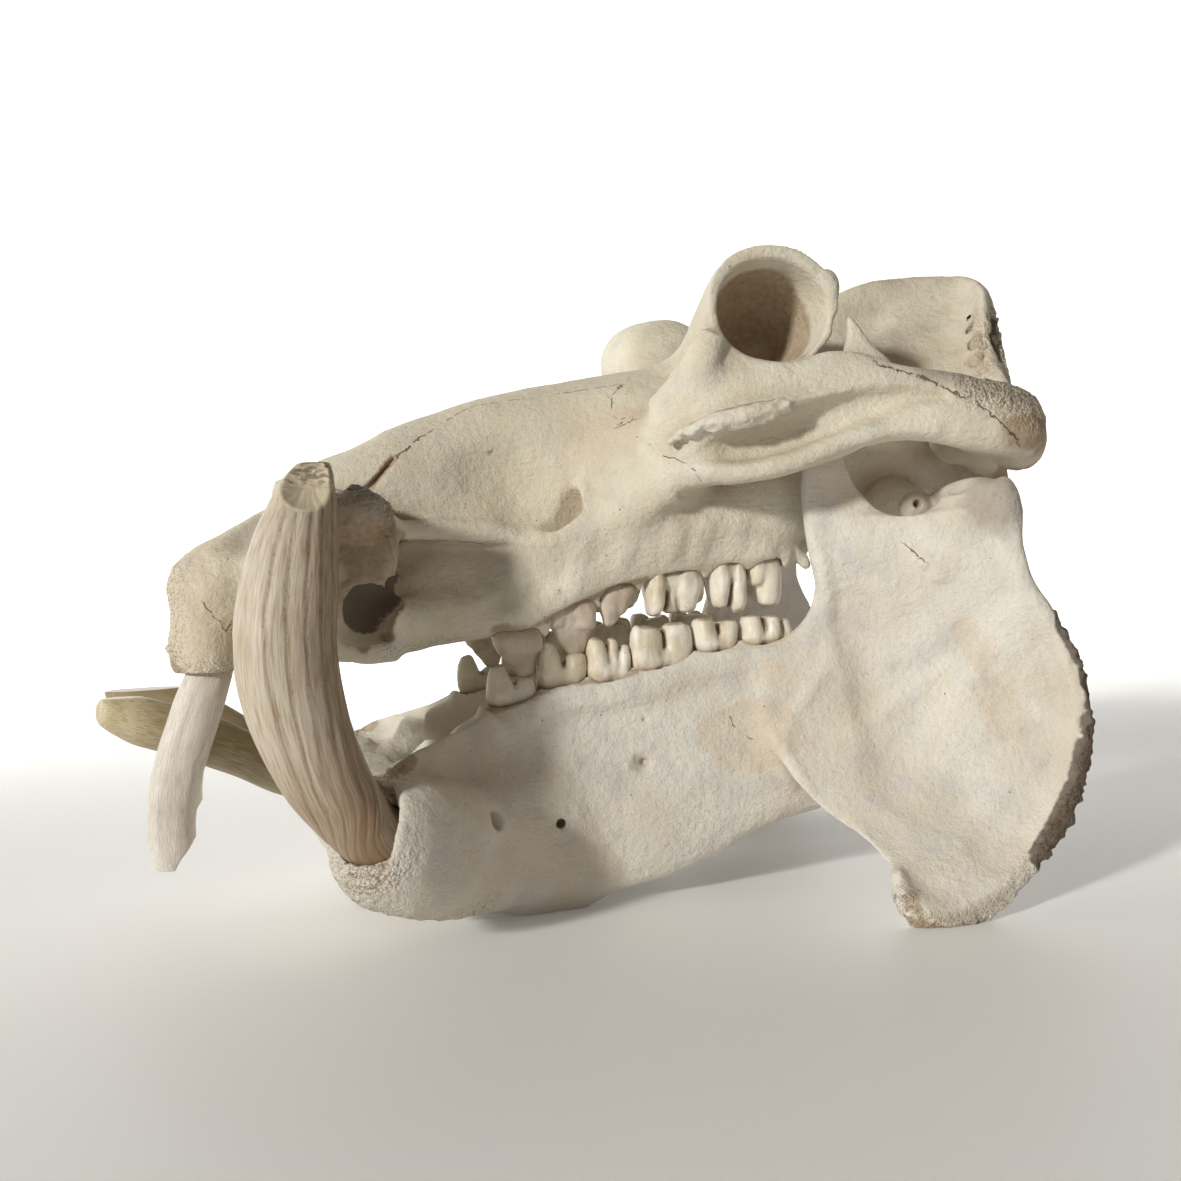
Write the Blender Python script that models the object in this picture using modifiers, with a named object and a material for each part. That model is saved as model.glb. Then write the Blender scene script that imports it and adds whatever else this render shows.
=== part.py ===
"""Hippo skull: a dry cranium resting on its mandible, with every tooth a piece of its own.

Every place below is in millimetres, measured in the skull's own frame: x back from the front of the
upper jaw, y out from the middle plane (the skull's left side is minus), z up from the floor. Each bone
is a set of simple forms, limbs, blades and blobs, fused by a voxel remesh, and the sockets are cut last.
"""
import math

import bmesh
import bpy
from mathutils import Vector

# Driving dimensions
MM = 0.001
SKULL_MIDDLE = 309.0        # x of the middle of the whole length, which becomes the origin
SOCKET_GAP = 0.4            # between a tooth and the wall of its socket
SOCKET_DEPTH = 14.0
CRANIUM_TRIANGLES = 2700
MANDIBLE_TRIANGLES = 1300
FUSE_SIZE = 4.5             # voxel of the bones
FLOOR_SLAB = (900.0, 560.0, 60.0)

LEFT_AND_RIGHT = (("left", -1), ("right", 1))

# Cheek teeth: name, front x, rear x, outer y, width, neck z, tip z, x of the tip, kind
UPPER_CHEEK_TEETH = [
    ("premolar_2", 219, 254, 73, 24, 207, 173, 241, "cone"),
    ("premolar_3", 258, 296, 75, 27, 226, 187, 279, "cone"),
    ("premolar_4", 299, 326, 79, 25, 237, 208, 305, "cone"),
    ("molar_1", 335, 379, 86, 36, 245, 214, 357, "molar"),
    ("molar_2", 382, 411, 91, 37, 250, 214, 397, "molar"),
    ("molar_3", 413, 440, 94, 34, 251, 217, 426, "molar"),
]
LOWER_CHEEK_TEETH = [
    ("premolar_2", 213, 249, 73, 23, 156, 184, 220, "cone"),
    ("premolar_3", 251, 286, 75, 25, 168, 199, 259, "cone"),
    ("premolar_4", 288, 319, 79, 28, 170, 201, 303, "cone"),
    ("molar_1", 322, 368, 83, 31, 178, 209, 345, "molar"),
    ("molar_2", 371, 404, 87, 34, 188, 211, 388, "molar"),
    ("molar_3", 407, 447, 92, 34, 191, 212, 427, "molar"),
]


def clear_scene():
    for old in list(bpy.data.objects):
        bpy.data.objects.remove(old, do_unlink=True)


def new_collection(name):
    collection = bpy.data.collections.new(name)
    bpy.context.scene.collection.children.link(collection)
    return collection


def bone_or_tooth_material(name, colour, roughness):
    material = bpy.data.materials.new(name)
    material.use_nodes = True
    shader = material.node_tree.nodes["Principled BSDF"]
    shader.inputs["Base Color"].default_value = (*colour, 1.0)
    shader.inputs["Roughness"].default_value = roughness
    shader.inputs["Metallic"].default_value = 0.0
    return material


# Building blocks: each adds one closed form to a bmesh

def add_loft(mesh, rings):
    """Skin a list of closed rings with the same count of points, and cap both ends."""
    loops = [[mesh.verts.new(point * MM) for point in ring] for ring in rings]
    sides = len(loops[0])
    for near, far in zip(loops, loops[1:]):
        for side in range(sides):
            beside = (side + 1) % sides
            mesh.faces.new((near[side], near[beside], far[beside], far[side]))
    mesh.faces.new(loops[0][::-1])
    mesh.faces.new(loops[-1])
    skin = {face for loop in loops for vert in loop for face in vert.link_faces}
    bmesh.ops.recalc_face_normals(mesh, faces=list(skin))
    bmesh.ops.triangulate(mesh, faces=list(skin))


def oval(centre, across, lift, squareness, sides):
    """A superellipse round centre: squareness 2 is an ellipse, and more is boxier."""
    ring = []
    for side in range(sides):
        angle = 2 * math.pi * side / sides
        c = math.cos(angle)
        s = math.sin(angle)
        out = math.copysign(abs(c) ** (2 / squareness), c)
        up = math.copysign(abs(s) ** (2 / squareness), s)
        ring.append(centre + across * out + lift * up)
    return ring


def smooth_rows(rows, parts):
    """Rows of numbers with others between them, on a Catmull-Rom curve through all columns."""
    finer = []
    last = len(rows) - 1
    for index in range(last):
        before = rows[max(index - 1, 0)]
        start = rows[index]
        end = rows[index + 1]
        after = rows[min(index + 2, last)]
        for part in range(parts):
            t = part / parts
            finer.append([
                0.5 * (2 * b + (c - a) * t + (2 * a - 5 * b + 4 * c - d) * t ** 2
                       + (3 * b - a - 3 * c + d) * t ** 3)
                for a, b, c, d in zip(before, start, end, after)])
    finer.append(list(rows[last]))
    return finer


def add_limb(mesh, rows, squareness=2.3, sides=20, parts=3):
    """A form along a path: rows of x, y, z, width across and height."""
    rows = smooth_rows(rows, parts)
    points = [Vector(row[:3]) for row in rows]
    rings = []
    for index, row in enumerate(rows):
        ahead = points[min(index + 1, len(points) - 1)] - points[max(index - 1, 0)]
        across = ahead.cross(Vector((0, 0, 1))).normalized()
        lift = across.cross(ahead).normalized()
        rings.append(oval(points[index], across * row[3] / 2, lift * row[4] / 2, squareness, sides))
    add_loft(mesh, rings)


def add_blade(mesh, side, rows, squareness=2.6, sides=28, parts=3):
    """A standing plate: rows of z, front x, front y, rear x, rear y and thickness."""
    rings = []
    for z, front_x, front_y, rear_x, rear_y, thickness in smooth_rows(rows, parts):
        front = Vector((front_x, side * front_y, z))
        rear = Vector((rear_x, side * rear_y, z))
        along = (rear - front) / 2
        across = along.cross(Vector((0, 0, 1))).normalized() * thickness / 2
        rings.append(oval((front + rear) / 2, along, across, squareness, sides))
    add_loft(mesh, rings)


def add_blob(mesh, centre, radii):
    """An ellipsoid with its axes along x, y and z."""
    made = bmesh.ops.create_uvsphere(mesh, u_segments=24, v_segments=14, radius=1.0)
    for vert in made["verts"]:
        vert.co = Vector(c + r * v for c, r, v in zip(centre, radii, vert.co)) * MM


def mesh_object(name, mesh, collection):
    data = bpy.data.meshes.new(name)
    mesh.to_mesh(data)
    mesh.free()
    thing = bpy.data.objects.new(name, data)
    collection.objects.link(thing)
    return thing


def finish_part(thing, material, parent):
    """Its material, smooth shading with crisp edges, and its place under the skull's empty."""
    thing.data.materials.append(material)
    thing.data.shade_smooth()
    thing.parent = parent


def as_guide(thing, parent):
    thing.hide_render = True
    thing.display_type = "WIRE"
    thing.parent = parent
    return thing


def fuse(bone, hollows, sockets, triangles):
    """One skin round the overlapping forms, hollowed, smoothed and thinned, then the sockets cut."""
    skin = bone.modifiers.new("One skin", "REMESH")
    skin.mode = "VOXEL"
    skin.voxel_size = FUSE_SIZE * MM
    hollow = bone.modifiers.new("Hollows", "BOOLEAN")
    hollow.object = hollows
    hollow.use_self = True
    even = bone.modifiers.new("Even skin", "REMESH")
    even.mode = "VOXEL"
    even.voxel_size = FUSE_SIZE * MM
    soften = bone.modifiers.new("Soften", "SMOOTH")
    soften.factor = 0.5
    soften.iterations = 4
    settled = settle(bone)
    thin = bone.modifiers.new("Thin", "DECIMATE")
    thin.ratio = min(1.0, triangles / settled)
    thin.use_collapse_triangulate = True
    cut = bone.modifiers.new("Sockets and floor", "BOOLEAN")
    cut.operand_type = "COLLECTION"
    cut.collection = sockets


def settle(thing):
    """Turn the modifiers so far into the mesh itself, and return its count of triangles."""
    bpy.context.view_layer.update()
    evaluated = thing.evaluated_get(bpy.context.evaluated_depsgraph_get())
    settled = bpy.data.meshes.new_from_object(evaluated)
    settled.name = thing.name
    thing.modifiers.clear()
    thing.data = settled
    return sum(len(face.vertices) - 2 for face in settled.polygons)


# The bones

def cranium_forms():
    mesh = bmesh.new()
    # Muzzle, forehead and braincase along the middle, seen as one long box
    add_limb(mesh, [
        (66, 0, 284, 84, 84), (100, 0, 281, 116, 120), (150, 0, 280, 124, 156),
        (200, 0, 289, 118, 170), (250, 0, 303, 122, 172), (300, 0, 318, 140, 164),
        (350, 0, 329, 178, 154), (400, 0, 341, 180, 148), (440, 0, 354, 150, 142),
        (490, 0, 366, 110, 130), (540, 0, 374, 112, 132), (600, 0, 378, 116, 140),
        (634, 0, 380, 110, 150)], squareness=2.8)
    add_blob(mesh, (545, 0, 372), (86, 60, 66))
    # Crest along the top of the braincase
    add_limb(mesh, [
        (430, 0, 408, 60, 40), (480, 0, 424, 40, 60), (530, 0, 440, 34, 70),
        (580, 0, 452, 36, 72), (636, 0, 458, 60, 68)])
    # Underside of the braincase
    add_limb(mesh, [(450, 0, 300, 52, 44), (520, 0, 304, 56, 46), (580, 0, 308, 66, 48),
                    (640, 0, 318, 84, 52)])
    # Back wall, a fan that leans back towards its top
    for side in (-1, 1):
        add_limb(mesh, [
            (646, -side * 8, 398, 28, 180), (642, side * 32, 392, 28, 170), (630, side * 62, 372, 28, 136),
            (618, side * 92, 360, 26, 92), (610, side * 118, 350, 24, 60)])
        add_blob(mesh, (654, side * 30, 322), (22, 22, 27))
        add_blob(mesh, (632, side * 78, 306), (13, 15, 34))
        # Upper jaw: front lobe, canine boss and the block that holds the cheek teeth
        add_limb(mesh, [
            (8, side * 50, 226, 66, 72), (28, side * 54, 236, 74, 96), (56, side * 58, 250, 66, 100),
            (90, side * 62, 264, 50, 104)])
        add_blob(mesh, (98, side * 84, 262), (46, 52, 54))
        add_limb(mesh, [
            (122, side * 70, 292, 60, 60), (116, side * 106, 272, 50, 72),
            (121, side * 130, 248, 38, 78), (122, side * 140, 232, 36, 60)])
        add_limb(mesh, [
            (130, side * 62, 226, 44, 46), (180, side * 56, 232, 34, 58), (230, side * 56, 238, 36, 56),
            (290, side * 60, 262, 40, 54), (350, side * 68, 276, 46, 56), (400, side * 74, 284, 44, 60),
            (440, side * 76, 290, 42, 64), (466, side * 70, 300, 34, 54)])
        # Cheek arch
        add_limb(mesh, [
            (340, side * 70, 336, 60, 60), (356, side * 108, 342, 50, 74), (377, side * 132, 346, 36, 88),
            (404, side * 143, 348, 30, 90), (432, side * 149, 352, 26, 84), (462, side * 156, 360, 24, 78),
            (490, side * 163, 362, 22, 56), (520, side * 171, 358, 22, 50), (550, side * 178, 351, 24, 50),
            (580, side * 180, 345, 30, 50), (600, side * 162, 344, 36, 46), (606, side * 120, 346, 44, 48),
            (606, side * 70, 356, 44, 60)])
        add_blob(mesh, (578, side * 150, 334), (30, 44, 14))
        # Roof from the forehead up to the rim of the eye socket, and the rim's front and back walls
        add_limb(mesh, [
            (410, side * 20, 396, 80, 40), (420, side * 62, 412, 86, 60), (421, side * 96, 430, 88, 76),
            (421, side * 122, 434, 93, 84), (421, side * 136, 434, 95, 85)], squareness=2.1)
        # Wing beside the inner nostrils
        add_blade(mesh, side, [(250, 452, 28, 486, 30, 10), (280, 446, 26, 500, 30, 12),
                               (312, 440, 26, 512, 28, 14)])
    return mesh


def cranium_hollows():
    mesh = bmesh.new()
    # Nose opening, with the nasal bones left over its rear end
    add_limb(mesh, [(-30, 0, 330, 60, 90), (20, 0, 296, 52, 74), (60, 0, 280, 60, 76),
                    (100, 0, 270, 74, 84), (150, 0, 268, 70, 70), (190, 0, 274, 40, 40)])
    add_limb(mesh, [(-30, 0, 250, 16, 160), (20, 0, 245, 14, 160), (44, 0, 250, 10, 90)])
    # Arched palate between the tooth rows, and the inner nostrils behind it
    add_limb(mesh, [(120, 0, 196, 60, 30), (240, 0, 206, 62, 34), (340, 0, 232, 72, 40),
                    (430, 0, 254, 84, 50), (470, 0, 276, 40, 40), (500, 0, 270, 36, 36)])
    for side in (-1, 1):
        # Eye socket
        add_limb(mesh, [
            (430, side * 62, 416, 26, 26), (426, side * 80, 420, 44, 42),
            (423, side * 104, 427, 64, 58), (421, side * 130, 431, 76, 70), (421, side * 165, 432, 82, 74)])
        # Empty canine socket, open downwards and outwards
        add_limb(mesh, [
            (150, side * 92, 276, 24, 24), (136, side * 116, 252, 30, 38),
            (124, side * 138, 230, 32, 44), (116, side * 172, 204, 36, 50)])
    add_blob(mesh, (672, 0, 336), (40, 15, 15))
    return mesh


def mandible_forms():
    mesh = bmesh.new()
    # Front of the jaw, joined across the middle
    add_limb(mesh, [
        (64, 0, 114, 120, 40), (80, 0, 104, 200, 62), (102, 0, 90, 270, 80), (126, 0, 78, 284, 88),
        (152, 0, 66, 236, 92), (182, 0, 52, 190, 92), (214, 0, 42, 160, 86)], squareness=2.8)
    for side in (-1, 1):
        # Swelling round the tusk's root, and the tubes that hold the incisors
        add_limb(mesh, [
            (104, side * 142, 90, 82, 80), (126, side * 135, 78, 84, 92), (156, side * 116, 66, 78, 94),
            (192, side * 92, 56, 60, 90), (232, side * 74, 58, 40, 92), (270, side * 64, 66, 30, 84)])
        add_limb(mesh, [(56, side * 34, 121, 52, 52), (84, side * 36, 112, 60, 62), (130, side * 40, 96, 56, 60)])
        # Body of the jaw
        add_limb(mesh, [
            (146, side * 82, 84, 56, 116), (178, side * 74, 68, 50, 134), (214, side * 64, 71, 40, 156),
            (250, side * 60, 79, 40, 170), (290, side * 62, 88, 42, 160), (330, side * 66, 95, 44, 158),
            (370, side * 70, 108, 46, 154), (410, side * 76, 118, 48, 138), (446, side * 88, 126, 46, 132),
            (480, side * 108, 132, 36, 120)], squareness=2.7)
        # Rising plate with its big flared corner, the tip in front of the notch, and the hinge
        add_blade(mesh, side, [
            (-4, 468, 203, 520, 211, 14), (14, 459, 198, 541, 211, 17), (34, 463, 184, 565, 209, 16),
            (52, 458, 160, 587, 208, 16), (76, 436, 134, 604, 206, 17), (110, 420, 112, 616, 204, 18),
            (140, 416, 102, 622, 202, 18), (172, 424, 98, 619, 199, 18), (200, 446, 100, 609, 195, 17),
            (225, 462, 108, 593, 191, 16), (250, 459, 111, 582, 186, 15), (276, 453, 112, 580, 182, 14)])
        add_blade(mesh, side, [
            (240, 460, 110, 522, 142, 14), (276, 453, 112, 507, 134, 13), (300, 449, 113, 489, 124, 12),
            (322, 449, 115, 479, 122, 12), (342, 455, 118, 478, 122, 11), (354, 464, 120, 476, 121, 8)])
        add_blade(mesh, side, [
            (250, 520, 146, 581, 184, 15), (276, 527, 144, 582, 182, 18), (296, 540, 146, 584, 178, 24)])
        add_limb(mesh, [(566, side * 112, 299, 24, 20), (564, side * 140, 300, 32, 26),
                        (562, side * 168, 298, 32, 26), (560, side * 190, 292, 22, 20)])
    return mesh


def mandible_hollows():
    mesh = bmesh.new()
    # Trough of the tongue behind the incisors, and the hollow under the chin's rear end
    add_limb(mesh, [(70, 0, 150, 60, 30), (120, 0, 142, 96, 50), (170, 0, 130, 92, 66), (240, 0, 104, 84, 90)])
    for side in (-1, 1):
        # Mouth of the tusk's socket, wider than the tusk
        add_blob(mesh, (98, side * 156, 124), (26, 26, 24))
    return mesh


# The teeth

def tusk_mesh(side):
    """A ridged tooth that curves up and forward from its socket and is worn off at a slant."""
    rows = smooth_rows([
        (146, 118, 62, 44, 50), (126, 137, 76, 48, 54), (106, 151, 96, 50, 58), (90, 159, 122, 50, 61),
        (78, 165, 152, 50, 63), (70, 168, 184, 50, 63), (68, 168, 214, 48, 62), (71, 165, 244, 46, 59),
        (78, 160, 274, 43, 52), (87, 154, 302, 36, 38), (94, 150, 322, 16, 16)], 1)
    mesh = bmesh.new()
    rings = []
    points = [Vector((x, side * y, z)) for x, y, z, width, depth in rows]
    for index, (x, y, z, width, depth) in enumerate(rows):
        ahead = (points[min(index + 1, len(points) - 1)] - points[max(index - 1, 0)]).normalized()
        fore = Vector((-1, 0, 0)) - ahead * ahead.dot(Vector((-1, 0, 0)))
        out = ahead.cross(fore.normalized())
        rings.append(oval(points[index], fore.normalized() * depth / 2, out * width / 2, 2.2, 16))
    add_loft(mesh, rings)
    return mesh


def incisor_mesh(side, rows, sides):
    mesh = bmesh.new()
    rings = []
    rows = smooth_rows(rows, 1)
    points = [Vector((x, side * y, z)) for x, y, z, width, depth in rows]
    for index, (x, y, z, width, depth) in enumerate(rows):
        ahead = (points[min(index + 1, len(points) - 1)] - points[max(index - 1, 0)]).normalized()
        out = ahead.cross(Vector((0, 1, 0))).normalized()
        rings.append(oval(points[index], Vector((0, width / 2, 0)), out * depth / 2, 2.0, sides))
    add_loft(mesh, rings)
    return mesh


LOWER_INCISOR = [(92, 35, 107, 36, 36), (60, 35, 119, 38, 38), (26, 34, 137, 38, 38), (-14, 34, 153, 36, 37),
                 (-40, 34, 162, 26, 28), (-56, 34, 167, 10, 13)]
UPPER_INCISOR = [(24, 70, 202, 30, 30), (18, 70, 184, 31, 31), (8, 71, 157, 32, 33), (-4, 72, 122, 32, 33),
                 (-8, 73, 92, 31, 31), (-7, 73, 72, 28, 27), (-9, 73, 64, 16, 13)]


def cheek_tooth_mesh(side, tooth):
    """A root, a swollen crown, and a pointed tip or a basin between worn lobes."""
    name, front, rear, outer, width, neck, tip, tip_x, kind = tooth
    middle = (front + rear) / 2
    centre_y = side * (outer - width / 2)
    length = rear - front
    crown = tip - neck
    root_end = neck - math.copysign(SOCKET_DEPTH - SOCKET_GAP, crown)
    shift = tip_x - middle
    # Share of the crown's height, of the way to the tip's x, of the length and of the width
    if kind == "cone":
        sides = 10
        rows = [(0.0, 0.0, 0.86, 0.84), (0.3, 0.0, 1.0, 1.0), (0.62, 0.6, 0.6, 0.8), (1.0, 1.0, 0.2, 0.26)]
    else:
        sides = 12
        rows = [(0.0, 0.0, 0.9, 0.86), (0.35, 0.0, 1.0, 1.0), (1.0, 0.6, 0.86, 0.78), (0.8, 0.6, 0.5, 0.44)]
    mesh = bmesh.new()
    rings = [oval(Vector((middle, centre_y, root_end)), Vector((length * 0.38, 0, 0)),
                  Vector((0, width * 0.38, 0)), 2.4, sides)]
    for height, towards_tip, along, across in rows:
        centre = Vector((middle + shift * towards_tip, centre_y, neck + crown * height))
        rings.append(oval(centre, Vector((length / 2 * along, 0, 0)), Vector((0, width / 2 * across, 0)),
                          2.6, sides))
    add_loft(mesh, rings)
    return mesh


def cheek_socket_mesh(side, tooth):
    """A boxy cutter round the whole tooth, from the bottom of its socket past its crown."""
    name, front, rear, outer, width, neck, tip, tip_x, kind = tooth
    centre_y = side * (outer - width / 2)
    up = math.copysign(1.0, tip - neck)
    mesh = bmesh.new()
    rings = []
    for z in (neck - up * SOCKET_DEPTH, tip + up * 8):
        centre = Vector(((front + rear) / 2, centre_y, z))
        rings.append(oval(centre, Vector(((rear - front) / 2 + SOCKET_GAP, 0, 0)),
                          Vector((0, width / 2 + SOCKET_GAP, 0)), 5.0, 12))
    add_loft(mesh, rings)
    return mesh


def swollen(mesh):
    """The same tooth, larger by the gap all round, as the cutter of its socket."""
    cutter = mesh.copy()
    cutter.normal_update()
    for vert in cutter.verts:
        vert.co = vert.co + vert.normal * SOCKET_GAP * 1.3 * MM
    return cutter


def main():
    clear_scene()
    skull_parts = new_collection("Hippo skull")
    guides = new_collection("Cutters")
    cranium_cutters = new_collection("Cranium cutters")
    mandible_cutters = new_collection("Mandible cutters")
    skull = bpy.data.objects.new("skull_middle", None)
    skull.location = (-SKULL_MIDDLE * MM, 0, 0)
    skull_parts.objects.link(skull)

    for side_name, side in LEFT_AND_RIGHT:
        mesh = tusk_mesh(side)
        as_guide(mesh_object("tusk cutter", swollen(mesh), mandible_cutters), skull)
        finish_part(mesh_object(side_name + "_lower_tusk", mesh, skull_parts),
                    bone_or_tooth_material("ridged ivory", (0.72, 0.62, 0.50), 0.45), skull)
        mesh = incisor_mesh(side, LOWER_INCISOR, 12)
        as_guide(mesh_object("incisor cutter", swollen(mesh), mandible_cutters), skull)
        finish_part(mesh_object(side_name + "_lower_incisor", mesh, skull_parts),
                    bone_or_tooth_material("yellow ivory", (0.60, 0.50, 0.30), 0.3), skull)
        mesh = incisor_mesh(side, UPPER_INCISOR, 12)
        as_guide(mesh_object("incisor cutter", swollen(mesh), cranium_cutters), skull)
        finish_part(mesh_object(side_name + "_upper_incisor", mesh, skull_parts),
                    bone_or_tooth_material("pale ivory", (0.74, 0.68, 0.60), 0.4), skull)
        for jaw, teeth, cutters in (("upper", UPPER_CHEEK_TEETH, cranium_cutters),
                                    ("lower", LOWER_CHEEK_TEETH, mandible_cutters)):
            for tooth in teeth:
                name = "_".join((side_name, jaw, tooth[0]))
                as_guide(mesh_object("socket cutter", cheek_socket_mesh(side, tooth), cutters), skull)
                finish_part(mesh_object(name, cheek_tooth_mesh(side, tooth), skull_parts),
                            bone_or_tooth_material("worn enamel", (0.66, 0.56, 0.42), 0.4), skull)

    floor = bmesh.new()
    bmesh.ops.create_cube(floor, size=MM)
    bmesh.ops.scale(floor, vec=FLOOR_SLAB, verts=floor.verts)
    bmesh.ops.translate(floor, vec=(SKULL_MIDDLE * MM, 0, -FLOOR_SLAB[2] / 2 * MM), verts=floor.verts)
    as_guide(mesh_object("floor cutter", floor, mandible_cutters), skull)

    cranium = mesh_object("cranium", cranium_forms(), skull_parts)
    hollows = as_guide(mesh_object("cranium hollows", cranium_hollows(), guides), skull)
    finish_part(cranium, bone_or_tooth_material("cranium bone", (0.66, 0.58, 0.45), 0.7), skull)
    fuse(cranium, hollows, cranium_cutters, CRANIUM_TRIANGLES)

    mandible = mesh_object("mandible", mandible_forms(), skull_parts)
    hollows = as_guide(mesh_object("mandible hollows", mandible_hollows(), guides), skull)
    finish_part(mandible, bone_or_tooth_material("mandible bone", (0.66, 0.60, 0.50), 0.7), skull)
    fuse(mandible, hollows, mandible_cutters, MANDIBLE_TRIANGLES)


main()
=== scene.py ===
"""The looks of a dry hippo skull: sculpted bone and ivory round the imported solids."""
import math

import bmesh
import bpy
import numpy as np
import openvdb
from mathutils import Matrix, Vector


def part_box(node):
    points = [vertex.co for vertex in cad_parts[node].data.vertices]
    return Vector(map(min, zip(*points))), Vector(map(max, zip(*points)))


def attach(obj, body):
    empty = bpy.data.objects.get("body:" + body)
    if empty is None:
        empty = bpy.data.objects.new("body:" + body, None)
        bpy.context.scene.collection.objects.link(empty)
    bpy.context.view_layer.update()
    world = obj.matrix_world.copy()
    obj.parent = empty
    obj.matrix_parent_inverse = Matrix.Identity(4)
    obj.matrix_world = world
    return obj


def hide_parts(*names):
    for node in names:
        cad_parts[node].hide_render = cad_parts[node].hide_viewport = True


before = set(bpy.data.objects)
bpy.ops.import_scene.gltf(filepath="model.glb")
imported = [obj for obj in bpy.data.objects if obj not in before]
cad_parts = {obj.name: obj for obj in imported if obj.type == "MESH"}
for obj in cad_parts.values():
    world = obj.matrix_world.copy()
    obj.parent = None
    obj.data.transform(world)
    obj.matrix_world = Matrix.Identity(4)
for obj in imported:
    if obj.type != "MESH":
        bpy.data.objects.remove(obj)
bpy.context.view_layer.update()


# Camera
# The photo was taken from close by, a little ahead of the skull's left side. Its place was found
# by fitting a pinhole camera to the skull's own landmarks, in millimetres back from the muzzle's tip.
MM = 0.001
MUZZLE_TO_ORIGIN = 309.0
PHOTO_SIDE = 1181.0
PHOTO_FOCUS = 1200.0
CAMERA_PLACE = (43.2, -924.2, 249.6)
CAMERA_YAW = math.radians(16.24)
CAMERA_PITCH = math.radians(-0.905)
CAMERA_ROLL = math.radians(-2.31)


def to_frame(points):
    """Millimetres back from the muzzle's tip, as the frame's metres."""
    return (np.asarray(points, float) - (MUZZLE_TO_ORIGIN, 0, 0)) * MM


def new_object(name, data):
    thing = bpy.data.objects.new(name, data)
    bpy.context.scene.collection.objects.link(thing)
    return thing


look = Vector((math.sin(CAMERA_YAW) * math.cos(CAMERA_PITCH), math.cos(CAMERA_YAW) * math.cos(CAMERA_PITCH),
               math.sin(CAMERA_PITCH)))
level_right = Vector((math.cos(CAMERA_YAW), -math.sin(CAMERA_YAW), 0.0))
level_up = level_right.cross(look)
right = level_right * math.cos(CAMERA_ROLL) + level_up * math.sin(CAMERA_ROLL)
up = level_up * math.cos(CAMERA_ROLL) - level_right * math.sin(CAMERA_ROLL)
camera_data = bpy.data.cameras.new("photo camera")
camera_data.sensor_width = 36.0
camera_data.lens = camera_data.sensor_width * PHOTO_FOCUS / PHOTO_SIDE
camera = new_object("photo camera", camera_data)
camera.matrix_world = (Matrix.Translation(Vector(to_frame(CAMERA_PLACE)))
                       @ Matrix((right, up, -look)).transposed().to_4x4())
bpy.context.scene.camera = camera


# Mandible
# The lower jaw is one bone, joined at the chin, with a swelling round each tusk and a wide flared
# corner where the chewing muscles held. It is built up as clay, from limbs, plates and lumps of bone
# pressed together with soft joins, and its skin is then roughened, marked and painted.
BONE_GRAIN = 1.8
BONE_TRIANGLES = 190000
CLAY_REACH = 24.0
BOX_SPARE = -0.0002


def smooth_rows(rows, parts=6):
    """Rows of numbers with others between them, on a Catmull-Rom curve through every column."""
    rows = np.array(rows, float)
    ends = np.vstack([rows[0], rows, rows[-1]])
    t = (np.arange(parts) / parts)[None, :, None]
    a, b, c, d = (ends[i:len(ends) - 3 + i][:, None, :] for i in range(4))
    finer = 0.5 * (2 * b + (c - a) * t + (2 * a - 5 * b + 4 * c - d) * t ** 2
                   + (3 * b - a - 3 * c + d) * t ** 3)
    return np.vstack([finer.reshape(-1, rows.shape[1]), rows[-1:]])


def unit(vectors):
    """The same vectors, each one long."""
    return vectors / np.maximum(np.linalg.norm(vectors, axis=-1, keepdims=True), 1e-9)


def loft(rings):
    """A closed tube through rings of points, shape (rings, sides, 3): points, end triangles and quads."""
    count, sides = rings.shape[:2]
    points = np.vstack([rings.reshape(-1, 3), rings[:1].mean(1), rings[-1:].mean(1)])
    ring, side = np.meshgrid(np.arange(count - 1) * sides, np.arange(sides), indexing="ij")
    beside = (side + 1) % sides
    quads = np.stack([ring + side, ring + beside, ring + sides + beside, ring + sides + side], axis=-1)
    side = np.arange(sides)
    beside = (side + 1) % sides
    last = (count - 1) * sides
    caps = np.vstack([np.stack([beside, side, np.full(sides, len(points) - 2)], axis=-1),
                      np.stack([last + side, last + beside, np.full(sides, len(points) - 1)], axis=-1)])
    return points, caps, quads.reshape(-1, 4)


def ovals(centres, across, lift, squareness, sides, bow=None):
    """Superelliptic rings round the centres, bent along their width where bow is given."""
    angle = 2 * np.pi * np.arange(sides) / sides
    c = (np.sign(np.cos(angle)) * np.abs(np.cos(angle)) ** (2 / squareness))[None, :, None]
    s = (np.sign(np.sin(angle)) * np.abs(np.sin(angle)) ** (2 / squareness))[None, :, None]
    rings = centres[:, None] + c * across[:, None] + s * lift[:, None]
    if bow is not None:
        rings = rings - (1 - c * c) * unit(lift)[:, None] * bow[:, None, None]
    return rings


def limb(rows, squareness=2.3, sides=48):
    """A form along a path: rows of x, y, z, width across and height."""
    rows = smooth_rows(rows)
    ahead = np.gradient(rows[:, :3], axis=0)
    across = unit(np.cross(ahead, (0, 0, 1)))
    lift = unit(np.cross(across, ahead))
    return loft(ovals(rows[:, :3], across * rows[:, 3:4] / 2, lift * rows[:, 4:5] / 2, squareness, sides))


def plate(rows, squareness=2.6, sides=80):
    """A standing plate: rows of z, front x, front y, rear x, rear y, thickness and inward bow."""
    rows = smooth_rows(rows)
    front = rows[:, [1, 2, 0]]
    rear = rows[:, [3, 4, 0]]
    along = (rear - front) / 2
    across = unit(np.cross(along, (0, 0, 1)))
    return loft(ovals((front + rear) / 2, along, across * rows[:, 5:6] / 2, squareness, sides, rows[:, 6]))


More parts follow.
